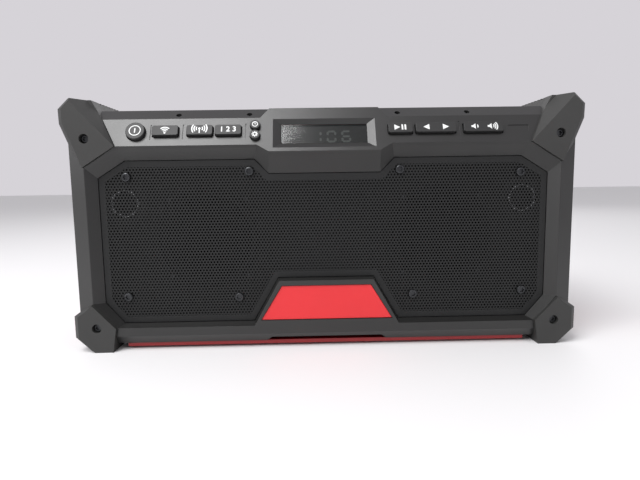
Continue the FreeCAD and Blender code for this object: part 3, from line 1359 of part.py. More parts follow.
def ports():
    """Port recess with its sockets, and the cover that folds down from it."""
    block = new_body("port_block")
    start = "housing_back - port_deep"
    pad(block, front_sketch(block, start, port_box("port_wall")), "port_deep")
    room = box(
        "port_x - port_wide / 2",
        "port_x + port_wide / 2",
        "port_z - port_tall / 2",
        "port_z + port_tall / 2",
    )
    pocket(block, front_sketch(block, start + " + port_plate", room), "port_deep")
    charge = box(
        "port_x - usb_wide - jack_r",
        "port_x - jack_r",
        "port_z - usb_tall / 2",
        "port_z + usb_tall / 2",
    )
    jack = circle("port_x + 3 * jack_r", "port_z", "jack_r")
    pocket(block, front_sketch(block, start, charge, jack), "port_plate")
    lug_low = HINGE_Z + " - knuckle_r"
    webs = []
    for way in ("-", "+"):
        inner = "port_x %s (knuckle_long / 2 + fit_gap)" % way
        outer = "port_x %s (knuckle_long / 2 + fit_gap + wall)" % way
        webs.append(box(inner, outer, lug_low, lug_low + " + 2 * knuckle_r"))
    pad(block, front_sketch(block, "housing_back", *webs), "knuckle_r + fit_gap")
    lug = circle(at_depth(HINGE_Y), HINGE_Z, "knuckle_r")
    for way in ("-", "+"):
        middle = "port_x %s (knuckle_long / 2 + fit_gap + wall / 2)" % way
        wide_pad(block, side_sketch(block, middle, lug), "wall")
    bore = circle(at_depth(HINGE_Y), HINGE_Z, "pin_r + pin_gap")
    wide = side_sketch(block, "port_x", bore)
    wide_pocket(block, wide, "knuckle_long + 2 * wall + 2 * fit_gap")
    pin = new_body("cover_pin")
    wire = side_sketch(pin, "port_x", circle(at_depth(HINGE_Y), HINGE_Z, "pin_r"))
    wide_pad(pin, wire, "knuckle_long + 2 * wall")
    cover = new_body("port_cover")
    wide_pad(cover, side_sketch(cover, "port_x", lug), "knuckle_long")
    stem = box("port_x - knuckle_long / 2", "port_x + knuckle_long / 2", HINGE_Z, "port_z - port_tall / 2")
    pad(cover, front_sketch(cover, "housing_back + fit_gap", stem), "cover_thick")
    face = box(
        "port_x - port_wide / 2 - port_wall",
        "port_x + port_wide / 2 + port_wall",
        HINGE_Z + " + knuckle_r + fit_gap",
        "port_z + port_tall / 2 + port_wall",
    )
    pad(cover, front_sketch(cover, "housing_back + fit_gap", face), "cover_thick")
    wide_pocket(cover, side_sketch(cover, "port_x", bore), "knuckle_long")


front_frame()
control_panel()
push_keys()
rocker_keys()
key_electronics()
panel_screws()
grille_and_baffle()
badge_plate()
drivers()
bumpers()
side_rails()
rear_housing()
handle()
case_screws()
battery()
ports()


def check_and_write():
    """Stop on anything that failed, then write each sub-part to its own file."""
    doc.recompute()
    for item in doc.Objects:
        if "Invalid" in item.State or "Error" in item.State:
            raise ValueError("%s failed: %s" % (item.Label, item.State))
    os.makedirs("parts", exist_ok=True)
    for body in subparts:
        shape = body.Shape
        if shape.isNull() or not shape.isValid():
            raise ValueError("%s has no valid shape" % body.Label)
        shape.exportStep("parts/%s.step" % body.Label)
        print("%-28s %9.1f mm3, %d solids" % (body.Label, shape.Volume, len(shape.Solids)))


check_and_write()
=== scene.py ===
"""Looks of the jobsite radio: moulded shells, perforated grille, key legends, display and screws."""
import math

import bmesh
import bpy
from mathutils import Matrix, Vector


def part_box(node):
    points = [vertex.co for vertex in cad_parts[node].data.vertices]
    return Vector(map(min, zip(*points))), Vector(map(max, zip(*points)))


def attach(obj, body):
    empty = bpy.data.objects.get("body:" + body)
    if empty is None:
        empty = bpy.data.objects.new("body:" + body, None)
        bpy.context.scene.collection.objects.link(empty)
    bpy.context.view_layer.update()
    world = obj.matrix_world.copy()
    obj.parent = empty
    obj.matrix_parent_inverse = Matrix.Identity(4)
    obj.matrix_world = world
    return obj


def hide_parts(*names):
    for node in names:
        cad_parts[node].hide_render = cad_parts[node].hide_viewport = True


bl_info = {
    "name": "Jobsite radio finish",
    "version": (1, 0, 0),
    "blender": (4, 5, 0),
    "location": "View3D > Sidebar > Radio",
    "description": "Builds the finish of a jobsite radio around its fixed frame",
    "category": "Object",
}

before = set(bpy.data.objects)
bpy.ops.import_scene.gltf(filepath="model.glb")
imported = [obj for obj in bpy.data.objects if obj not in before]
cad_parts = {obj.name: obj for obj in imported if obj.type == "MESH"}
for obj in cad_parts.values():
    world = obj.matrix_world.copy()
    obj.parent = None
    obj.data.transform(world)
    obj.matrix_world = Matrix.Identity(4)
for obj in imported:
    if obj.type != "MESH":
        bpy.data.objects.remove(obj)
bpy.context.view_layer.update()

MM = 0.001
ROOT = "radio"
FRONT_Y = -80 * MM

# The key face leans back from the front ridge, and the facet above it leans further
TILT = math.radians(26.9)
BROW_TILT = math.radians(50.4)
RIDGE_DEPTH = 3 * MM
RIDGE_HEIGHT = 160.2 * MM
KEY_ROW = 11.8 * MM
KEY_PROUD = 3 * MM
DOT_RISE = 4.4 * MM
MODULE_IN = 4.2 * MM
LENS_IN = 2.6 * MM
LENS_X = 36.0 * MM
LENS_UP = (-0.6 * MM, 21.4 * MM)
AIR = 0.1 * MM

# Digits of the display: size and step of one, thickness of a bar, and the first one's place
DIGIT_WIDE = 7.6 * MM
DIGIT_TALL = 10.6 * MM
DIGIT_STEP = 11.4 * MM
DIGIT_BAR = 1.7 * MM
DIGIT_START = -9.5 * MM
DIGIT_LOW = 3.4 * MM

# Type on the preset key: its height, and how far its strokes are thickened
TYPE_SIZE = 6.2 * MM
TYPE_BOLD = 0.13 * MM

# Bright ring in the flare of a tweeter: radius and width in millimetres, and the depths
# of its front and back behind the board's face
TRIM_RADIUS = 10.8
TRIM_WIDE = 1.3
TRIM_DEPTH = (0.1 * MM, 2.4 * MM)

# Middle of each legend across the radio, in millimetres
POWER_X = -144
WIRELESS_X = -121.35
BAND_X = -95.15
PRESET_X = -73.45
DOT_X = -53
PLAY_X = 58.7
TRACK_X = 86
VOLUME_X = 122.95

# Right half of the sheet that fills the window, from the pod down to the plate
SHEET_HALF = (
    (43.8, 138.0),
    (54.9, 149.2),
    (154.8, 149.2),
    (175.9, 136.1),
    (175.9, 37.8),
    (161.8, 21.2),
    (58.4, 21.2),
    (38.3, 55.9),
)

# Directions that the screws' heads face
FORWARD = (0, -1, 0)
BACKWARD = (0, 1, 0)
BROW_OUT = (0, -math.cos(BROW_TILT), math.sin(BROW_TILT))
SCREWS = (
    ("grille_screws", FORWARD),
    ("front_bumper_screws", FORWARD),
    ("panel_screws", BROW_OUT),
    ("rear_bumper_screws", BACKWARD),
    ("case_screws", BACKWARD),
)

# Clean-up before a bevel: gap that is welded, turn still taken as flat, and turn that is an edge
WELD_GAP = 0.005 * MM
FLAT_TURN = math.radians(0.6)
EDGE_TURN = math.radians(24)

# Unevenness of a finish: spread of its roughness, and depth of its grit
ROUGHNESS_SPREAD = 0.08
GRIT_DEPTH = 0.1 * MM

# Bevels in millimetres that break the edges of each piece
BADGE_BEVEL = 0.35
MOULDED = {
    "front_frame": 0.6,
    "control_panel": 0.4,
    "battery_dock": 0.4,
    "port_block": 0.4,
    "battery_pack": 1.0,
    "port_cover": 0.6,
}
ELASTOMER = {
    "front_upper_bumper_left": 0.8,
    "front_upper_bumper_right": 0.8,
    "front_foot_left": 0.8,
    "front_foot_right": 0.8,
    "rear_upper_bumper_left": 0.8,
    "rear_upper_bumper_right": 0.8,
    "rear_foot_left": 0.8,
    "rear_foot_right": 0.8,
    "side_rail_left": 0.4,
    "side_rail_right": 0.4,
    "handle_bar": 1.6,
}
RED_MOULDED = {"rear_housing": 0.8, "release_button": 0.4}
KEYS = {
    "power_key": 0.5,
    "wireless_key": 0.45,
    "band_key": 0.45,
    "preset_key": 0.45,
    "clock_key": 0.4,
    "settings_key": 0.4,
    "play_key": 0.45,
    "track_rocker": 0.45,
    "volume_rocker": 0.45,
}

# Soft square lamps: name, place, size in metres and power in watts, all aimed at one point
LAMP_AIM = (0, 0, 0.1)
LAMPS = (
    ("ceiling_panel", (-0.5, -0.72, 1.25), 0.8, 20),
    ("left_window", (-1.5, -0.6, 0.7), 1.0, 6),
    ("right_fill", (1.4, -1.2, 0.8), 1.2, 3),
    ("rear_fill", (0.3, 1.5, 1.1), 1.2, 6),
)
SKY_COLOUR = "#f2f1f4"
SKY_STRENGTH = 0.62
FLOOR_HALF = 6.0
FLOOR_ROUGHNESS = 0.55

# Camera that sees the radio as the photograph does: place in metres, lens in millimetres
CAMERA_PLACE = (-0.0123, -0.464, 0.1321)
CAMERA_YAW = math.radians(1.14)
CAMERA_PITCH = math.radians(6.76)
CAMERA_ROLL = math.radians(-0.85)
CAMERA_LENS = 28.125
CAMERA_SENSOR = 36
CAMERA_NEAR = 0.01


def linear(code):
    """Turn an sRGB hex colour into the linear values that shaders take."""
    parts = [int(code[i : i + 2], 16) / 255 for i in (1, 3, 5)]
    return tuple(c / 12.92 if c <= 0.04045 else ((c + 0.055) / 1.055) ** 2.4 for c in parts) + (1.0,)


def add_node(tree, kind, inputs=None, links=None, **settings):
    """Add a node with its settings, input values and incoming links."""
    made = tree.nodes.new(kind)
    for name, value in settings.items():
        setattr(made, name, value)
    for name, value in (inputs or {}).items():
        made.inputs[name].default_value = value
    for name, source in (links or {}).items():
        tree.links.new(source, made.inputs[name])
    return made


def reckon(tree, operation, *terms):
    """Result of a sum in a node tree, its terms given as sockets or plain numbers."""
    made = add_node(tree, "ShaderNodeMath", operation=operation)
    for i, term in enumerate(terms):
        if isinstance(term, bpy.types.NodeSocket):
            tree.links.new(term, made.inputs[i])
        else:
            made.inputs[i].default_value = term
    return made.outputs[0]


def finish(name, base, deep, roughness, grit, bump, blotch=35.0, **sockets):
    """Material with a fine grit relief, slow colour drift and uneven roughness; grit and blotch in mm."""
    material = bpy.data.materials.new(name)
    material.use_nodes = True
    tree = material.node_tree
    tree.nodes.clear()
    place = add_node(tree, "ShaderNodeTexCoord").outputs["Object"]
    drift = add_node(
        tree, "ShaderNodeTexNoise", {"Scale": 1 / (blotch * MM), "Detail": 4.0}, {"Vector": place}
    )
    colour = add_node(
        tree,
        "ShaderNodeMixRGB",
        {"Color1": linear(base), "Color2": linear(deep)},
        {"Fac": drift.outputs["Fac"]},
    )
    grain = add_node(
        tree, "ShaderNodeTexNoise", {"Scale": 1 / (grit * MM), "Detail": 2.0}, {"Vector": place}
    )
    uneven = add_node(
        tree,
        "ShaderNodeMapRange",
        {"To Min": max(roughness - ROUGHNESS_SPREAD, 0.02), "To Max": roughness + ROUGHNESS_SPREAD},
        {"Value": drift.outputs["Fac"]},
    )
    relief = add_node(
        tree,
        "ShaderNodeBump",
        {"Strength": bump, "Distance": GRIT_DEPTH},
        {"Height": grain.outputs["Fac"]},
    )
    shader = add_node(
        tree,
        "ShaderNodeBsdfPrincipled",
        {socket.replace("_", " ").title().replace("Ior", "IOR"): value for socket, value in sockets.items()},
        {
            "Base Color": colour.outputs["Color"],
            "Roughness": uneven.outputs["Result"],
            "Normal": relief.outputs["Normal"],
        },
    )
    add_node(tree, "ShaderNodeOutputMaterial", links={"Surface": shader.outputs["BSDF"]})
    return material


def moulded_abs():
    """Black ABS from a spark eroded mould: a fine even grit that spreads the ceiling light."""
    return finish("black_abs_spark_eroded", "#242423", "#1c1c1c", 0.34, 0.7, 0.3, ior=1.54)


def rubber_overmould():
    """Thermoplastic elastomer, moulded matt: softer and a shade lighter than the ABS."""
    return finish("grey_elastomer_moulded_matt", "#313130", "#272726", 0.56, 0.9, 0.4, ior=1.5)


def red_nylon():
    """Glass filled nylon, moulded in red: deep colour under a slightly cloudy skin."""
    return finish("red_glass_filled_nylon_moulded", "#98131a", "#7c0e13", 0.42, 0.8, 0.25, ior=1.53)


def key_rubber():
    """Silicone keypad rubber with a sprayed soft coat: darker than the panel, low sheen."""
    return finish("black_silicone_soft_coated", "#262626", "#1f1f1f", 0.5, 0.5, 0.2, ior=1.45)


def legend_ink():
    """Two part white ink, pad printed: flat, slightly uneven where the film is thin."""
    return finish("white_ink_pad_printed", "#e4e5e4", "#cfd1d0", 0.45, 0.4, 0.1, blotch=4.0)


def painted_steel():
    """Steel sheet, punched and powder coated black: faint orange peel between the holes."""
    return finish("black_powder_coated_steel", "#131414", "#0e0f0f", 0.5, 1.2, 0.3, ior=1.45)


def blackened_screw():
    """Steel screws, black oxide: a dark metal that still catches a thin highlight."""
    return finish("black_oxide_steel_screw", "#4a4b4d", "#3a3b3c", 0.34, 0.3, 0.15, metallic=1.0)


def red_plate():
    """Aluminium plate, stove enamelled red: even satin colour with a clear top coat."""
    return finish(
        "red_enamelled_aluminium", "#dc2a30", "#d0252b", 0.4, 1.0, 0.12, coat_weight=0.15, ior=1.45
    )


def smoked_lens():
    """Polycarbonate window, injection moulded and smoked: dark, glossy, the digits just show through."""
    return finish("smoked_polycarbonate_lens", "#17191a", "#141617", 0.12, 2.0, 0.02, alpha=0.35, ior=1.58)


def display_glass():
    """Liquid crystal glass behind the window: flat green grey with a soft gloss."""
    return finish("liquid_crystal_glass", "#3a3d3a", "#343734", 0.25, 2.0, 0.02, ior=1.52)


def segment_painted_glow():
    """Lit liquid crystal segments, their backlight glow painted into the colour: a shade lighter than the
    glass they sit in.
    """
    return finish("liquid_crystal_segment_painted_glow", "#7d847f", "#747b76", 0.4, 1.0, 0.02)


def paper_cone():
    """Pressed paper pulp cone, dyed black: fibrous and dull."""
    return finish("black_pressed_paper_cone", "#111111", "#0c0c0c", 0.85, 0.6, 0.6)


def board_with_painted_shade():
    """Wood fibre board, sprayed matt black and set darker than the paint alone, as painted shade behind the
    holes, so it does not show through them.
    """
    return finish("black_fibre_board_painted_shade", "#0c0c0c", "#080808", 0.8, 0.8, 0.3)


def foam_edge():
    """Butyl rubber surround, moulded: smooth black with a soft sheen."""
    return finish("black_butyl_rubber_surround", "#0f0f10", "#0b0b0c", 0.55, 0.8, 0.2)


def ferrite():
    """Sintered ferrite magnet: dense dark grey ceramic."""
    return finish("sintered_ferrite", "#2f2f31", "#262628", 0.6, 0.4, 0.4)


def silver_ring():
    """Plastic ring, lacquered silver: its pale rim glints through the holes."""
    return finish("silver_lacquered_ring", "#c9cbcd", "#b9bbbd", 0.3, 0.6, 0.1)


def silk_dome():
    """Coated silk dome: fine weave, dull black."""
    return finish("coated_silk_dome", "#1e1e20", "#171719", 0.6, 0.3, 0.3)


def circuit_board():
    """Glass epoxy board with green solder mask: smooth film over the weave."""
    return finish("green_solder_mask_board", "#1d5a33", "#174a2a", 0.35, 0.7, 0.2)


def silicone_mat():
    """Grey silicone sheet of the key mat: dull and slightly dusty."""
    return finish("grey_silicone_moulded", "#4a4b4d", "#404143", 0.7, 0.8, 0.2)


def tinned_blade():
    """Tinned copper alloy blades: soft bright metal."""
    return finish("tinned_copper_blade", "#c4c6c8", "#b2b4b6", 0.28, 0.5, 0.05, metallic=1.0)


def drawn_pin():
    """Stainless steel hinge pin, drawn: clean bright grey."""
    return finish("stainless_steel_drawn", "#b4b6b8", "#a3a5a7", 0.26, 0.4, 0.05, metallic=1.0)


INNER = (
    (paper_cone, ("woofer_cone_left", "woofer_cone_right")),
    (foam_edge, ("woofer_surround_left", "woofer_surround_right", "tweeter_frames")),
    (painted_steel, ("woofer_basket_left", "woofer_basket_right")),
    (ferrite, ("woofer_magnet_left", "woofer_magnet_right")),
    # The baffle's near black colour is partly its paint and partly painted shade behind the grille holes
    (board_with_painted_shade, ("speaker_baffle",)),
    (silk_dome, ("tweeter_domes",)),
    (circuit_board, ("key_board", "main_board")),
    (silicone_mat, ("key_mat",)),
    (tinned_blade, ("battery_blades",)),
    (drawn_pin, ("cover_pin",)),
    (blackened_screw, ("driver_screws", "handle_screws")),
)


def dress(node, material, bevel=0.0):
    """Give a frame node its finish, and break its edges by a bevel in metres."""
    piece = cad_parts[node]
    piece.data.materials.clear()
    piece.data.materials.append(material)
    if not bevel:
        return piece
    weld = piece.modifiers.new("join", "WELD")
    weld.merge_threshold = WELD_GAP
    flat = piece.modifiers.new("flat_faces", "DECIMATE")
    flat.decimate_type = "DISSOLVE"
    flat.angle_limit = FLAT_TURN
    edge = piece.modifiers.new("broken_edges", "BEVEL")
    edge.width = bevel
    edge.segments = 2
    edge.limit_method = "ANGLE"
    edge.angle_limit = EDGE_TURN
    edge.use_clamp_overlap = True
    edge.harden_normals = True
    return piece


def on_face(across, up, out):
    """Place on the key face: across and up its slope from the ridge, and out of it, in metres."""
    depth = RIDGE_DEPTH + up * math.sin(TILT) - out * math.cos(TILT)
    height = RIDGE_HEIGHT + up * math.cos(TILT) + out * math.sin(TILT)
    return Vector((across, FRONT_Y + depth, height))


def mesh_of(name, bm):
    """Turn a bmesh into a mesh, and free it."""
    mesh = bpy.data.meshes.new(name)
    bm.to_mesh(mesh)
    bm.free()
    return mesh


def show(name, data):
    """Put a mesh, lamp or camera into the scene."""
    piece = bpy.data.objects.new(name, data)
    bpy.context.scene.collection.objects.link(piece)
    return piece


def new_piece(name, bm, material):
    """Close a bmesh into an object with one material and outward faces."""
    bmesh.ops.recalc_face_normals(bm, faces=bm.faces)
    mesh = mesh_of(name, bm)
    mesh.materials.append(material)
    return show(name, mesh)


def add_prism(bm, outline, low, high, place):
    """Add a flat prism of an outline in (across, up), between two heights, through a placing rule."""
    rings = []
    for out in (low, high):
        rings.append([bm.verts.new(place(across, up, out)) for across, up in outline])
    bm.faces.new(rings[0])
    bm.faces.new(rings[1])
    for i in range(len(outline)):
        j = (i + 1) % len(outline)
        bm.faces.new((rings[0][i], rings[0][j], rings[1][j], rings[1][i]))


def bar(left, right, low, high, slant=0.0):
    """Outline of an upright bar, its top pushed across by the slant."""
    return [(left, low), (right, low), (right + slant, high), (left + slant, high)]


def arc(across, up, radius, wide, start, end, steps=14):
    """Outline of a band along an arc, with angles in degrees."""
    outer = []
    inner = []
    for i in range(steps + 1):
        turn = math.radians(start + (end - start) * i / steps)
        outer.append((across + radius * math.cos(turn), up + radius * math.sin(turn)))
        inner.append((across + (radius - wide) * math.cos(turn), up + (radius - wide) * math.sin(turn)))
    return outer + inner[::-1]


def circle_band(across, up, radius, wide):
    """A closed ring as two half bands."""
    return [arc(across, up, radius, wide, 0, 180), arc(across, up, radius, wide, 180, 360)]


def dot(across, up, radius, sides=20):
    """Outline of a small disc."""
    turns = [2 * math.pi * i / sides for i in range(sides)]
    return [(across + radius * math.cos(turn), up + radius * math.sin(turn)) for turn in turns]


# Symbols are lists of outlines, in millimetres from the middle of their key


def power_symbol():
    """Bar in a ring."""
    return circle_band(0, 0, 4.5, 0.65) + [bar(-0.4, 0.4, -2.0, 2.0)]


def wireless_symbol():
    """Dot under three arcs."""
    shapes = [dot(0, -2.4, 0.75)]
    for radius in (2.2, 3.7, 5.2):
        shapes.append(arc(0, -2.4, radius, 0.8, 48, 132))
    return shapes


def band_symbol():
    """Mast that sends to both sides."""
    shapes = [bar(-0.4, 0.4, -2.9, 0.6), dot(0, 1.0, 0.9)]
    for radius in (2.8, 4.5, 6.2):
        shapes.append(arc(0, 1.0, radius, 0.85, -36, 36))
        shapes.append(arc(0, 1.0, radius, 0.85, 144, 216))
    return shapes


def clock_symbol():
    """Clock face with two hands."""
    return circle_band(0, 0, 2.3, 0.6) + [bar(-0.25, 0.25, -0.2, 1.4), bar(-0.2, 1.1, -0.25, 0.25)]


def settings_symbol():
    """Toothed wheel."""
    shapes = circle_band(0, 0, 1.7, 0.8)
    for i in range(8):
        shapes.append(arc(0, 0, 2.4, 0.8, i * 45 - 10, i * 45 + 10, 2))
    return shapes


def play_symbol():
    """Triangle and two bars."""
    return [
        [(-4.9, -2.4), (-0.4, 0.0), (-4.9, 2.4)],
        bar(0.6, 1.9, -2.3, 2.3),
        bar(2.9, 4.2, -2.3, 2.3),
    ]


def track_symbol():
    """One triangle to each side."""
    return [
        [(-5.2, -2.4), (-5.2, 2.4), (-9.9, 0.0)],
        [(5.2, -2.4), (9.9, 0.0), (5.2, 2.4)],
    ]


def horn(across):
    """Outline of a small loudspeaker seen from the side."""
    half = [(0.0, 0.8), (1.2, 0.8), (3.2, 2.4)]
    upper = [(across + x, up) for x, up in half]
    lower = [(across + x, -up) for x, up in reversed(half)]
    return upper + lower


def volume_symbol():
    """Loudspeaker with one wave, and one with three."""
    shapes = [horn(-9.6), horn(2.9)]
    shapes.append(arc(-6.6, 0, 2.4, 0.8, -40, 40))
    for radius in (2.2, 3.6, 5.0):
        shapes.append(arc(6.0, 0, radius, 0.8, -45, 45))
    return shapes


LEGENDS = (
    ("power_key", POWER_X, 0.0, power_symbol),
    ("wireless_key", WIRELESS_X, 0.0, wireless_symbol),
    ("band_key", BAND_X, 0.0, band_symbol),
    ("clock_key", DOT_X, DOT_RISE, clock_symbol),
    ("settings_key", DOT_X, -DOT_RISE, settings_symbol),
    ("play_key", PLAY_X, 0.0, play_symbol),
    ("track_rocker", TRACK_X, 0.0, track_symbol),
    ("volume_rocker", VOLUME_X, 0.0, volume_symbol),
)

# Which of the seven bars light for each digit: top, upper left and right, middle, lower ones, bottom
SEGMENTS = {
    "0": "0 1 2 4 5 6",
    "1": "2 5",
    "2": "0 2 3 4 6",
    "3": "0 2 3 5 6",
    "4": "1 2 3 5",
    "5": "0 1 3 5 6",
    "6": "0 1 3 4 5 6",
    "7": "0 2 5",
    "8": "0 1 2 3 4 5 6",
    "9": "0 1 2 3 5 6",
}


def segment_bars(wide, tall, thick):
    """Outlines of the seven bars of one digit, with cut ends."""
    half = tall / 2

    def lying(up):
        cut = thick / 2
        return [
            (cut, up),
            (thick, up + cut),
            (wide - thick, up + cut),
            (wide - cut, up),
            (wide - thick, up - cut),
            (thick, up - cut),
        ]

    def standing(across, low):
        cut = thick / 2
        high = low + half
        return [
            (across, low + cut * 1.3),
            (across + cut, low + thick),
            (across + cut, high - thick),
            (across, high - cut * 1.3),
            (across - cut, high - thick),
            (across - cut, low + thick),
        ]

    left = thick / 2
    right = wide - thick / 2
    return [
        lying(tall - thick / 2),
        standing(left, half),
        standing(right, half),
        lying(half),
        standing(left, 0),
        standing(right, 0),
        lying(thick / 2),
    ]


def geometry_tree(name, sockets):
    """New geometry tree with named inputs, given as name and socket kind."""
    tree = bpy.data.node_groups.new(name, "GeometryNodeTree")
    for label, kind in sockets:
        tree.interface.new_socket(name=label, in_out="INPUT", socket_type=kind)
    tree.interface.new_socket(name="Geometry", in_out="OUTPUT", socket_type="NodeSocketGeometry")
    return tree


def grown(name, tree, values, start=None):
    """Run a geometry tree once, and keep its result as a plain mesh object."""
    holder = show(name + "_source", start or bpy.data.meshes.new(name + "_source"))
    modifier = holder.modifiers.new("grow", "NODES")
    modifier.node_group = tree
    keys = {s.name: s.identifier for s in tree.interface.items_tree if s.in_out == "INPUT"}
    for label, value in values.items():
        modifier[keys[label]] = value
    seen = holder.evaluated_get(bpy.context.evaluated_depsgraph_get())
    mesh = bpy.data.meshes.new_from_object(seen)
    mesh.name = name
    bpy.data.objects.remove(holder)
    return show(name, mesh)


def stamp(tree, cell, material, **placing):
    """End a tree with a cell on every point, all in one material."""
    stamped = add_node(tree, "GeometryNodeInstanceOnPoints", links={"Instance": cell, **placing})
    real = add_node(tree, "GeometryNodeRealizeInstances", links={0: stamped.outputs[0]})
    coated = add_node(
        tree, "GeometryNodeSetMaterial", links={"Geometry": real.outputs[0], "Material": material}
    )
    add_node(tree, "NodeGroupOutput", links={0: coated.outputs[0]})


def perforation_tree():
    """Staggered rows of one cell over an upright field, kept only where the field lies behind them."""
    tree = geometry_tree(
        "perforation",
        (
            ("Pitch", "NodeSocketFloat"),
            ("Row Step", "NodeSocketFloat"),
            ("Columns", "NodeSocketInt"),
            ("Rows", "NodeSocketInt"),
            ("Middle", "NodeSocketVector"),
            ("Field", "NodeSocketObject"),
            ("Cell", "NodeSocketObject"),
            ("Material", "NodeSocketMaterial"),
        ),
    )
    given = add_node(tree, "NodeGroupInput").outputs
    wide = reckon(tree, "MULTIPLY", given["Columns"], given["Pitch"])
    tall = reckon(tree, "MULTIPLY", reckon(tree, "SUBTRACT", given["Rows"], 1.0), given["Row Step"])
    columns = reckon(tree, "ADD", given["Columns"], 1.0)
    grid = add_node(
        tree,
        "GeometryNodeMeshGrid",
        links={"Size X": wide, "Size Y": tall, "Vertices X": columns, "Vertices Y": given["Rows"]},
    )
    place = add_node(tree, "GeometryNodeInputPosition").outputs["Position"]
    apart = add_node(tree, "ShaderNodeSeparateXYZ", links={0: place}).outputs
    above = reckon(tree, "ADD", apart["Y"], reckon(tree, "MULTIPLY", tall, 0.5))
    row = reckon(tree, "ROUND", reckon(tree, "DIVIDE", above, given["Row Step"]))
    odd = reckon(tree, "MODULO", row, 2.0)
    shift = reckon(tree, "MULTIPLY", reckon(tree, "MULTIPLY", odd, given["Pitch"]), 0.5)
    across = reckon(tree, "ADD", apart["X"], shift)
    upright = add_node(tree, "ShaderNodeCombineXYZ", links={"X": across, "Z": apart["Y"]})
    placed = add_node(
        tree,
        "ShaderNodeVectorMath",
        links={0: upright.outputs[0], 1: given["Middle"]},
        operation="ADD",
    )
    points = add_node(
        tree,
        "GeometryNodeSetPosition",
        links={"Geometry": grid.outputs["Mesh"], "Position": placed.outputs[0]},
    )
    field = add_node(tree, "GeometryNodeObjectInfo", links={"Object": given["Field"]})
    ray = add_node(
        tree,
        "GeometryNodeRaycast",
        {"Ray Direction": (0, 1, 0), "Ray Length": 1.0},
        {"Target Geometry": field.outputs["Geometry"]},
    )
    outside = add_node(
        tree, "FunctionNodeBooleanMath", links={0: ray.outputs["Is Hit"]}, operation="NOT"
    )
    kept = add_node(
        tree,
        "GeometryNodeDeleteGeometry",
        links={"Geometry": points.outputs[0], "Selection": outside.outputs[0]},
        domain="POINT",
    )
    cell = add_node(tree, "GeometryNodeObjectInfo", links={"Object": given["Cell"]})
    stamp(tree, cell.outputs["Geometry"], given["Material"], Points=kept.outputs[0])
    return tree


def screw_tree():
    """One head on every point, turned by one rotation."""
    tree = geometry_tree(
        "screw_heads",
        (
            ("Points", "NodeSocketGeometry"),
            ("Head", "NodeSocketObject"),
            ("Turn", "NodeSocketRotation"),
            ("Material", "NodeSocketMaterial"),
        ),
    )
    given = add_node(tree, "NodeGroupInput").outputs
    head = add_node(tree, "GeometryNodeObjectInfo", links={"Object": given["Head"]})
    stamp(
        tree,
        head.outputs["Geometry"],
        given["Material"],
        Points=given["Points"],
        Rotation=given["Turn"],
    )
    return tree


def islands(node):
    """Corner points of each separate solid in a frame node."""
    bm = bmesh.new()
    bm.from_mesh(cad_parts[node].data)
    bmesh.ops.remove_doubles(bm, verts=bm.verts, dist=0.002 * MM)
    left = set(bm.verts)
    groups = []
    for seed in bm.verts:
        if seed not in left:
            continue
        left.remove(seed)
        edge = [seed]
        group = []
        while edge:
            vert = edge.pop()
            group.append(vert.co.copy())
            for link in vert.link_edges:
                other = link.other_vert(vert)
                if other in left:
                    left.remove(other)
                    edge.append(other)
        groups.append(group)
    bm.free()
    return groups


def head_and_shank(name, head_radius, head_tall, shank_radius, shank_long, sides=24):
    """Screw along -Z with the top of its head at the origin and a six lobed recess."""
    under = -head_tall
    side_top = -0.45 * head_tall
    shoulder = 0.9 * head_radius
    shoulder_height = -0.15 * head_tall
    crown = 0.72 * head_radius
    recess = 0.5 * head_radius
    recess_floor = -0.7 * head_tall
    lobes = 6
    lobe_depth = 0.16

    def lobed(turn):
        return recess * (1 + lobe_depth * math.cos(lobes * turn))

    rings = (
        (lambda turn: shank_radius, under - shank_long),
        (lambda turn: shank_radius, under),
        (lambda turn: head_radius, under),
        (lambda turn: head_radius, side_top),
        (lambda turn: shoulder, shoulder_height),
        (lambda turn: crown, 0.0),
        (lobed, 0.0),
        (lobed, recess_floor),
    )
    bm = bmesh.new()
    made = []
    for radius, height in rings:
        ring = []
        for i in range(sides):
            turn = 2 * math.pi * i / sides
            reach = radius(turn)
            ring.append(bm.verts.new((reach * math.cos(turn), reach * math.sin(turn), height)))
        made.append(ring)
    for low, high in zip(made, made[1:]):
        for i in range(sides):
            j = (i + 1) % sides
            bm.faces.new((low[i], low[j], high[j], high[i]))
    bm.faces.new(made[0])
    bm.faces.new(made[-1])
    bmesh.ops.recalc_face_normals(bm, faces=bm.faces)
    return bpy.data.objects.new(name, mesh_of(name, bm))


def screw_sizes(group, axis):
    """Top centre of a screw, and its head and shank sizes, from its corner points."""
    heights = [point.dot(axis) for point in group]
    top = max(heights)
    middle = sum(group, Vector()) / len(group)
    centre = middle + axis * (top - middle.dot(axis))
    reach = [((point - centre) - axis * (point - centre).dot(axis)).length for point in group]
    rim = 0.97 * max(reach)
    head_tall = top - min(height for height, far in zip(heights, reach) if far > rim)
    return centre, (max(reach), head_tall, min(reach), top - min(heights) - head_tall)


def fit_screws(node, axis, tree, material):
    """Replace a group of plain screws by ones with a driven head, at the same places and sizes."""
    axis = Vector(axis).normalized()
    screws = [screw_sizes(group, axis) for group in islands(node)]
    head = head_and_shank(node + "_head", *screws[-1][1])
    points = bpy.data.meshes.new(node + "_points")
    points.from_pydata([tuple(centre) for centre, sizes in screws], [], [])
    turn = Vector((0, 0, 1)).rotation_difference(axis).to_euler()
    piece = grown(
        "driven_" + node, tree, {"Head": head, "Turn": turn, "Material": material}, points
    )
    bpy.data.objects.remove(head)
    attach(piece, ROOT)
    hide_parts(node)


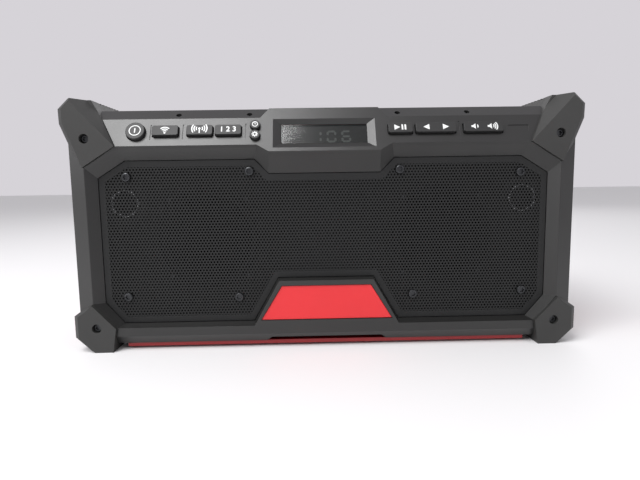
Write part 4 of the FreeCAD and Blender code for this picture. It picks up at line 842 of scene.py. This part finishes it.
class RadioSizes(bpy.types.PropertyGroup):
    """Sizes of the finish that a user would change."""

    pitch: bpy.props.FloatProperty(
        name="Hole pitch", description="Distance between two holes of the sheet", default=2.5 * MM,
        min=1.8 * MM, unit="LENGTH",
    )
    hole: bpy.props.FloatProperty(
        name="Hole radius", description="Radius of a hole in the sheet", default=0.85 * MM,
        min=0.2 * MM, unit="LENGTH",
    )
    border: bpy.props.FloatProperty(
        name="Plain border", description="Unpunched edge of the sheet", default=2.2 * MM,
        min=0.5 * MM, unit="LENGTH",
    )
    ink: bpy.props.FloatProperty(
        name="Ink film", description="Thickness of a printed legend", default=0.08 * MM,
        min=0.01 * MM, unit="LENGTH",
    )
    bevel_scale: bpy.props.FloatProperty(
        name="Edge break", description="Factor on every broken edge", default=1.0, min=0.1, max=2.0,
    )


class RadioLook(bpy.types.PropertyGroup):
    """Colours and texts that a user would change."""

    floor_colour: bpy.props.FloatVectorProperty(
        name="Floor", description="Colour of the floor", subtype="COLOR", size=4,
        default=linear("#e9e8e9"), min=0.0, max=1.0,
    )
    wall_colour: bpy.props.FloatVectorProperty(
        name="Backdrop", description="Colour behind the radio", subtype="COLOR", size=4,
        default=linear("#d6d3d8"), min=0.0, max=1.0,
    )
    digits: bpy.props.StringProperty(
        name="Display", description="Digits on the display", default="106"
    )
    presets: bpy.props.StringProperty(
        name="Preset legend", description="Plain numbers on the preset key", default="1 2 3"
    )


def dress_all(context, sizes, material):
    """Finish each node of a table, with its edges broken by a size in millimetres."""
    for node, size in sizes.items():
        dress(node, material, size * MM * context.scene.radio_sizes.bevel_scale)


class RADIO_OT_shells(bpy.types.Operator):
    """Finish the black moulded shells."""

    bl_idname = "radio.shells"
    bl_label = "Moulded shells"

    def execute(self, context):
        dress_all(context, MOULDED, moulded_abs())
        return {"FINISHED"}


class RADIO_OT_bumpers(bpy.types.Operator):
    """Finish the corner bumpers, side rails and handle."""

    bl_idname = "radio.bumpers"
    bl_label = "Bumpers, rails and handle"

    def execute(self, context):
        dress_all(context, ELASTOMER, rubber_overmould())
        return {"FINISHED"}


class RADIO_OT_housing(bpy.types.Operator):
    """Finish the red housing and the red button on the pack."""

    bl_idname = "radio.housing"
    bl_label = "Rear housing"

    def execute(self, context):
        dress_all(context, RED_MOULDED, red_nylon())
        return {"FINISHED"}


class RADIO_OT_keys(bpy.types.Operator):
    """Finish the keys and print their legends, each legend riding on its own key."""

    bl_idname = "radio.keys"
    bl_label = "Keys and legends"

    def execute(self, context):
        dress_all(context, KEYS, key_rubber())
        ink = legend_ink()
        film = context.scene.radio_sizes.ink
        for node, middle, rise, symbol in LEGENDS:
            bm = bmesh.new()
            for outline in symbol():
                placed = [((middle + x) * MM, KEY_ROW + rise + up * MM) for x, up in outline]
                add_prism(bm, placed, KEY_PROUD - film, KEY_PROUD + film, on_face)
            piece = new_piece(node + "_legend", bm, ink)
            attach(piece, node)
        numbers = self.lettering(context.scene.radio_look.presets, film, ink)
        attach(numbers, "preset_key")
        return {"FINISHED"}

    def lettering(self, words, film, ink):
        """Turn plain numbers into a printed mesh on the preset key."""
        curve = bpy.data.curves.new("preset_numbers", "FONT")
        curve.body = words
        curve.align_x = "CENTER"
        curve.align_y = "CENTER"
        curve.size = TYPE_SIZE
        curve.offset = TYPE_BOLD
        curve.extrude = film
        curve.resolution_u = 3
        words_object = bpy.data.objects.new("preset_numbers_source", curve)
        mesh = bpy.data.meshes.new_from_object(words_object)
        bpy.data.objects.remove(words_object)
        mesh.name = "preset_key_legend"
        for vertex in mesh.vertices:
            across, up, out = vertex.co
            vertex.co = on_face(PRESET_X * MM + across, KEY_ROW + up, KEY_PROUD + out)
        mesh.materials.clear()
        mesh.materials.append(ink)
        return show("preset_key_legend", mesh)


class RADIO_OT_display(bpy.types.Operator):
    """Smoke the window, and set plain digits on the module behind it."""

    bl_idname = "radio.display"
    bl_label = "Display"

    def execute(self, context):
        dress("display_module", display_glass())
        bm = bmesh.new()
        corners = bar(-LENS_X, LENS_X, *LENS_UP)
        add_prism(bm, corners, -MODULE_IN + AIR, -LENS_IN, on_face)
        window = new_piece("smoked_window", bm, smoked_lens())
        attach(window, ROOT)
        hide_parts("display_lens")
        bm = bmesh.new()
        bars = segment_bars(DIGIT_WIDE, DIGIT_TALL, DIGIT_BAR)
        surface = -MODULE_IN + AIR / 5
        for place, digit in enumerate(context.scene.radio_look.digits):
            start = DIGIT_START + place * DIGIT_STEP
            for number in SEGMENTS[digit].split():
                outline = [(start + x, DIGIT_LOW + up) for x, up in bars[int(number)]]
                add_prism(bm, outline, surface, surface + AIR / 2, on_face)
        # The digits' backlight glow is painted into their colour; no lamp lights them
        piece = new_piece("display_digits", bm, segment_painted_glow())
        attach(piece, ROOT)
        return {"FINISHED"}


def sheet_outline(inset):
    """Outline of the sheet, drawn in by a margin, as corners in metres."""
    half = [Vector((x * MM, z * MM)) for x, z in SHEET_HALF]
    ring = half + [Vector((-point.x, point.y)) for point in reversed(half)]
    corners = []
    count = len(ring)
    sharpest = 0.2
    for i in range(count):
        before = (ring[i] - ring[i - 1]).normalized()
        after = (ring[(i + 1) % count] - ring[i]).normalized()
        inward_one = Vector((before.y, -before.x))
        inward_two = Vector((after.y, -after.x))
        mean = (inward_one + inward_two).normalized()
        corners.append(ring[i] + mean * (inset / max(mean.dot(inward_one), sharpest)))
    return corners


class RADIO_OT_grille(bpy.types.Operator):
    """Punch the steel sheet in staggered rows, with a plain border."""

    bl_idname = "radio.grille"
    bl_label = "Perforated grille"

    def execute(self, context):
        sizes = context.scene.radio_sizes
        low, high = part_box("grille")
        steel = painted_steel()
        bm = bmesh.new()
        field = [bm.verts.new((p.x, high.y, p.y)) for p in sheet_outline(sizes.border)]
        bm.faces.new(field)
        field_object = bpy.data.objects.new("sheet_field", mesh_of("sheet_field", bm))
        cell = self.cell(sizes.pitch, sizes.hole, high.y - low.y)
        row_step = sizes.pitch * math.sqrt(3) / 2
        punched = grown(
            "grille_punched",
            perforation_tree(),
            {
                "Pitch": sizes.pitch,
                "Row Step": row_step,
                "Columns": math.ceil((high.x - low.x) / sizes.pitch),
                "Rows": math.ceil((high.z - low.z) / row_step),
                "Middle": (0, low.y, (low.z + high.z) / 2),
                "Field": field_object,
                "Cell": cell,
                "Material": steel,
            },
        )
        bpy.data.objects.remove(field_object)
        bpy.data.objects.remove(cell)
        border = self.border(sizes, low.y, high.y, steel)
        for piece in (punched, border):
            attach(piece, ROOT)
        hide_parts("grille")
        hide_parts("grille")
        return {"FINISHED"}

    def cell(self, pitch, hole, thick):
        """Six sided bit of sheet round one hole, with the wall of the hole."""
        reach = pitch / math.sqrt(3)
        bm = bmesh.new()
        outer, front, back = [], [], []
        for i in range(6):
            turn = math.radians(60 * i + 30)
            across, up = math.cos(turn), math.sin(turn)
            outer.append(bm.verts.new((reach * across, 0, reach * up)))
            front.append(bm.verts.new((hole * across, 0, hole * up)))
            back.append(bm.verts.new((hole * across, thick, hole * up)))
        for i in range(6):
            j = (i + 1) % 6
            bm.faces.new((outer[i], outer[j], front[j], front[i]))
            bm.faces.new((front[i], front[j], back[j], back[i]))
        return bpy.data.objects.new("sheet_cell", mesh_of("sheet_cell", bm))

    def border(self, sizes, front, back, steel):
        """Plain edge of the sheet, just proud of the cut cells at its inner line."""
        bm = bmesh.new()
        rings = []
        inner = sizes.border + sizes.pitch
        proud = 0.02 * MM
        for inset, depth in (
            (inner, front + proud),
            (inner, front - proud),
            (0.0, front - proud),
            (0.0, back),
            (inner, back),
        ):
            rings.append([bm.verts.new((p.x, depth, p.y)) for p in sheet_outline(inset)])
        for one, two in zip(rings, rings[1:] + rings[:1]):
            for i in range(len(one)):
                j = (i + 1) % len(one)
                bm.faces.new((one[i], one[j], two[j], two[i]))
        return new_piece("grille_border", bm, steel)


class RADIO_OT_drivers(bpy.types.Operator):
    """Finish the loudspeakers that show through the holes, and the inner parts."""

    bl_idname = "radio.drivers"
    bl_label = "Loudspeakers and inner parts"

    def execute(self, context):
        for material, nodes in INNER:
            finished = material()
            for node in nodes:
                dress(node, finished)
        self.trims(silver_ring())
        return {"FINISHED"}

    def trims(self, metal):
        """Thin bright ring in the flare of each tweeter."""
        low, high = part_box("tweeter_frames")
        radius = (high.z - low.z) / 2
        middle = (high.z + low.z) / 2
        bm = bmesh.new()
        for across in (low.x + radius, high.x - radius):
            for outline in circle_band(0, 0, TRIM_RADIUS, TRIM_WIDE):
                placed = [(across + x * MM, middle + z * MM) for x, z in outline]
                front, back = (low.y + depth for depth in TRIM_DEPTH)
                add_prism(bm, placed, front, back, lambda x, z, y: Vector((x, y, z)))
        piece = new_piece("tweeter_trims", bm, metal)
        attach(piece, ROOT)


class RADIO_OT_badge(bpy.types.Operator):
    """Finish the bare red plate."""

    bl_idname = "radio.badge"
    bl_label = "Red plate"

    def execute(self, context):
        dress_all(context, {"badge_plate": BADGE_BEVEL}, red_plate())
        return {"FINISHED"}


class RADIO_OT_screws(bpy.types.Operator):
    """Fit driven heads to the screws that show."""

    bl_idname = "radio.screws"
    bl_label = "Screws"

    def execute(self, context):
        tree = screw_tree()
        steel = blackened_screw()
        for node, axis in SCREWS:
            fit_screws(node, axis, tree, steel)
        return {"FINISHED"}


class RADIO_OT_stage(bpy.types.Operator):
    """Set the floor, the background, the soft lamps and the camera."""

    bl_idname = "radio.stage"
    bl_label = "Floor, light and camera"

    def execute(self, context):
        look = context.scene.radio_look
        context.scene.view_settings.view_transform = "Standard"
        self.floor(look.floor_colour)
        self.world(context, look.wall_colour)
        for lamp in LAMPS:
            self.lamp(*lamp)
        self.camera(context)
        return {"FINISHED"}

    def floor(self, colour):
        """Plain pale floor."""
        mesh = bpy.data.meshes.new("floor")
        half = FLOOR_HALF
        mesh.from_pydata(
            [(-half, -half, 0), (half, -half, 0), (half, half, 0), (-half, half, 0)], [], [(0, 1, 2, 3)]
        )
        material = bpy.data.materials.new("painted_table_top")
        material.use_nodes = True
        shader = material.node_tree.nodes["Principled BSDF"]
        shader.inputs["Base Color"].default_value = colour
        shader.inputs["Roughness"].default_value = FLOOR_ROUGHNESS
        mesh.materials.append(material)
        show("floor", mesh)

    def world(self, context, colour):
        """Even sky light, with its own plain colour behind the radio."""
        world = bpy.data.worlds.new("studio")
        world.use_nodes = True
        tree = world.node_tree
        tree.nodes.clear()
        path = add_node(tree, "ShaderNodeLightPath").outputs
        through = reckon(tree, "MAXIMUM", path["Is Camera Ray"], path["Is Transmission Ray"])
        seen = reckon(tree, "MAXIMUM", through, path["Is Glossy Ray"])
        light = add_node(
            tree, "ShaderNodeBackground", {"Color": linear(SKY_COLOUR), "Strength": SKY_STRENGTH}
        )
        wall = add_node(tree, "ShaderNodeBackground", {"Color": colour, "Strength": 1.0})
        both = add_node(
            tree,
            "ShaderNodeMixShader",
            links={0: seen, 1: light.outputs[0], 2: wall.outputs[0]},
        )
        add_node(tree, "ShaderNodeOutputWorld", links={"Surface": both.outputs[0]})
        context.scene.world = world

    def lamp(self, name, place, size, power):
        """Square soft lamp at a place, turned to the common aim."""
        light = bpy.data.lights.new(name, "AREA")
        light.size = size
        light.energy = power
        piece = show(name, light)
        piece.location = place
        piece.rotation_euler = (Vector(LAMP_AIM) - Vector(place)).to_track_quat("-Z", "Y").to_euler()

    def camera(self, context):
        """Camera at the photograph's viewpoint, level by its yaw, then tipped and rolled."""
        level = Vector((math.cos(CAMERA_YAW), -math.sin(CAMERA_YAW), 0))
        flat = math.cos(CAMERA_PITCH)
        ahead = Vector(
            (math.sin(CAMERA_YAW) * flat, math.cos(CAMERA_YAW) * flat, -math.sin(CAMERA_PITCH))
        )
        upward = level.cross(ahead)
        right = math.cos(CAMERA_ROLL) * level + math.sin(CAMERA_ROLL) * upward
        top = -math.sin(CAMERA_ROLL) * level + math.cos(CAMERA_ROLL) * upward
        matrix = Matrix((right, top, -ahead)).transposed().to_4x4()
        matrix.translation = CAMERA_PLACE
        lens = bpy.data.cameras.new("camera")
        lens.lens = CAMERA_LENS
        lens.sensor_width = CAMERA_SENSOR
        lens.clip_start = CAMERA_NEAR
        piece = show("camera", lens)
        piece.matrix_world = matrix
        context.scene.camera = piece


OPERATORS = (
    RADIO_OT_shells,
    RADIO_OT_bumpers,
    RADIO_OT_housing,
    RADIO_OT_keys,
    RADIO_OT_display,
    RADIO_OT_grille,
    RADIO_OT_drivers,
    RADIO_OT_badge,
    RADIO_OT_screws,
    RADIO_OT_stage,
)


class RADIO_PT_panel(bpy.types.Panel):
    """Lists the steps that finish the radio."""

    bl_idname = "RADIO_PT_panel"
    bl_label = "Jobsite radio"
    bl_space_type = "VIEW_3D"
    bl_region_type = "UI"
    bl_category = "Radio"

    def draw(self, context):
        for group in (context.scene.radio_sizes, context.scene.radio_look):
            for name in group.__annotations__:
                self.layout.prop(group, name)
        for operator in OPERATORS:
            self.layout.operator(operator.bl_idname)


CLASSES = (RadioSizes, RadioLook) + OPERATORS + (RADIO_PT_panel,)


def register():
    for item in CLASSES:
        bpy.utils.register_class(item)
    bpy.types.Scene.radio_sizes = bpy.props.PointerProperty(type=RadioSizes)
    bpy.types.Scene.radio_look = bpy.props.PointerProperty(type=RadioLook)


def unregister():
    del bpy.types.Scene.radio_look
    del bpy.types.Scene.radio_sizes
    for item in reversed(CLASSES):
        bpy.utils.unregister_class(item)


def main():
    """Register the steps, and run each of them in order."""
    register()
    for operator in OPERATORS:
        group, name = operator.bl_idname.split(".")
        getattr(getattr(bpy.ops, group), name)()


if __name__ == "__main__":
    main()
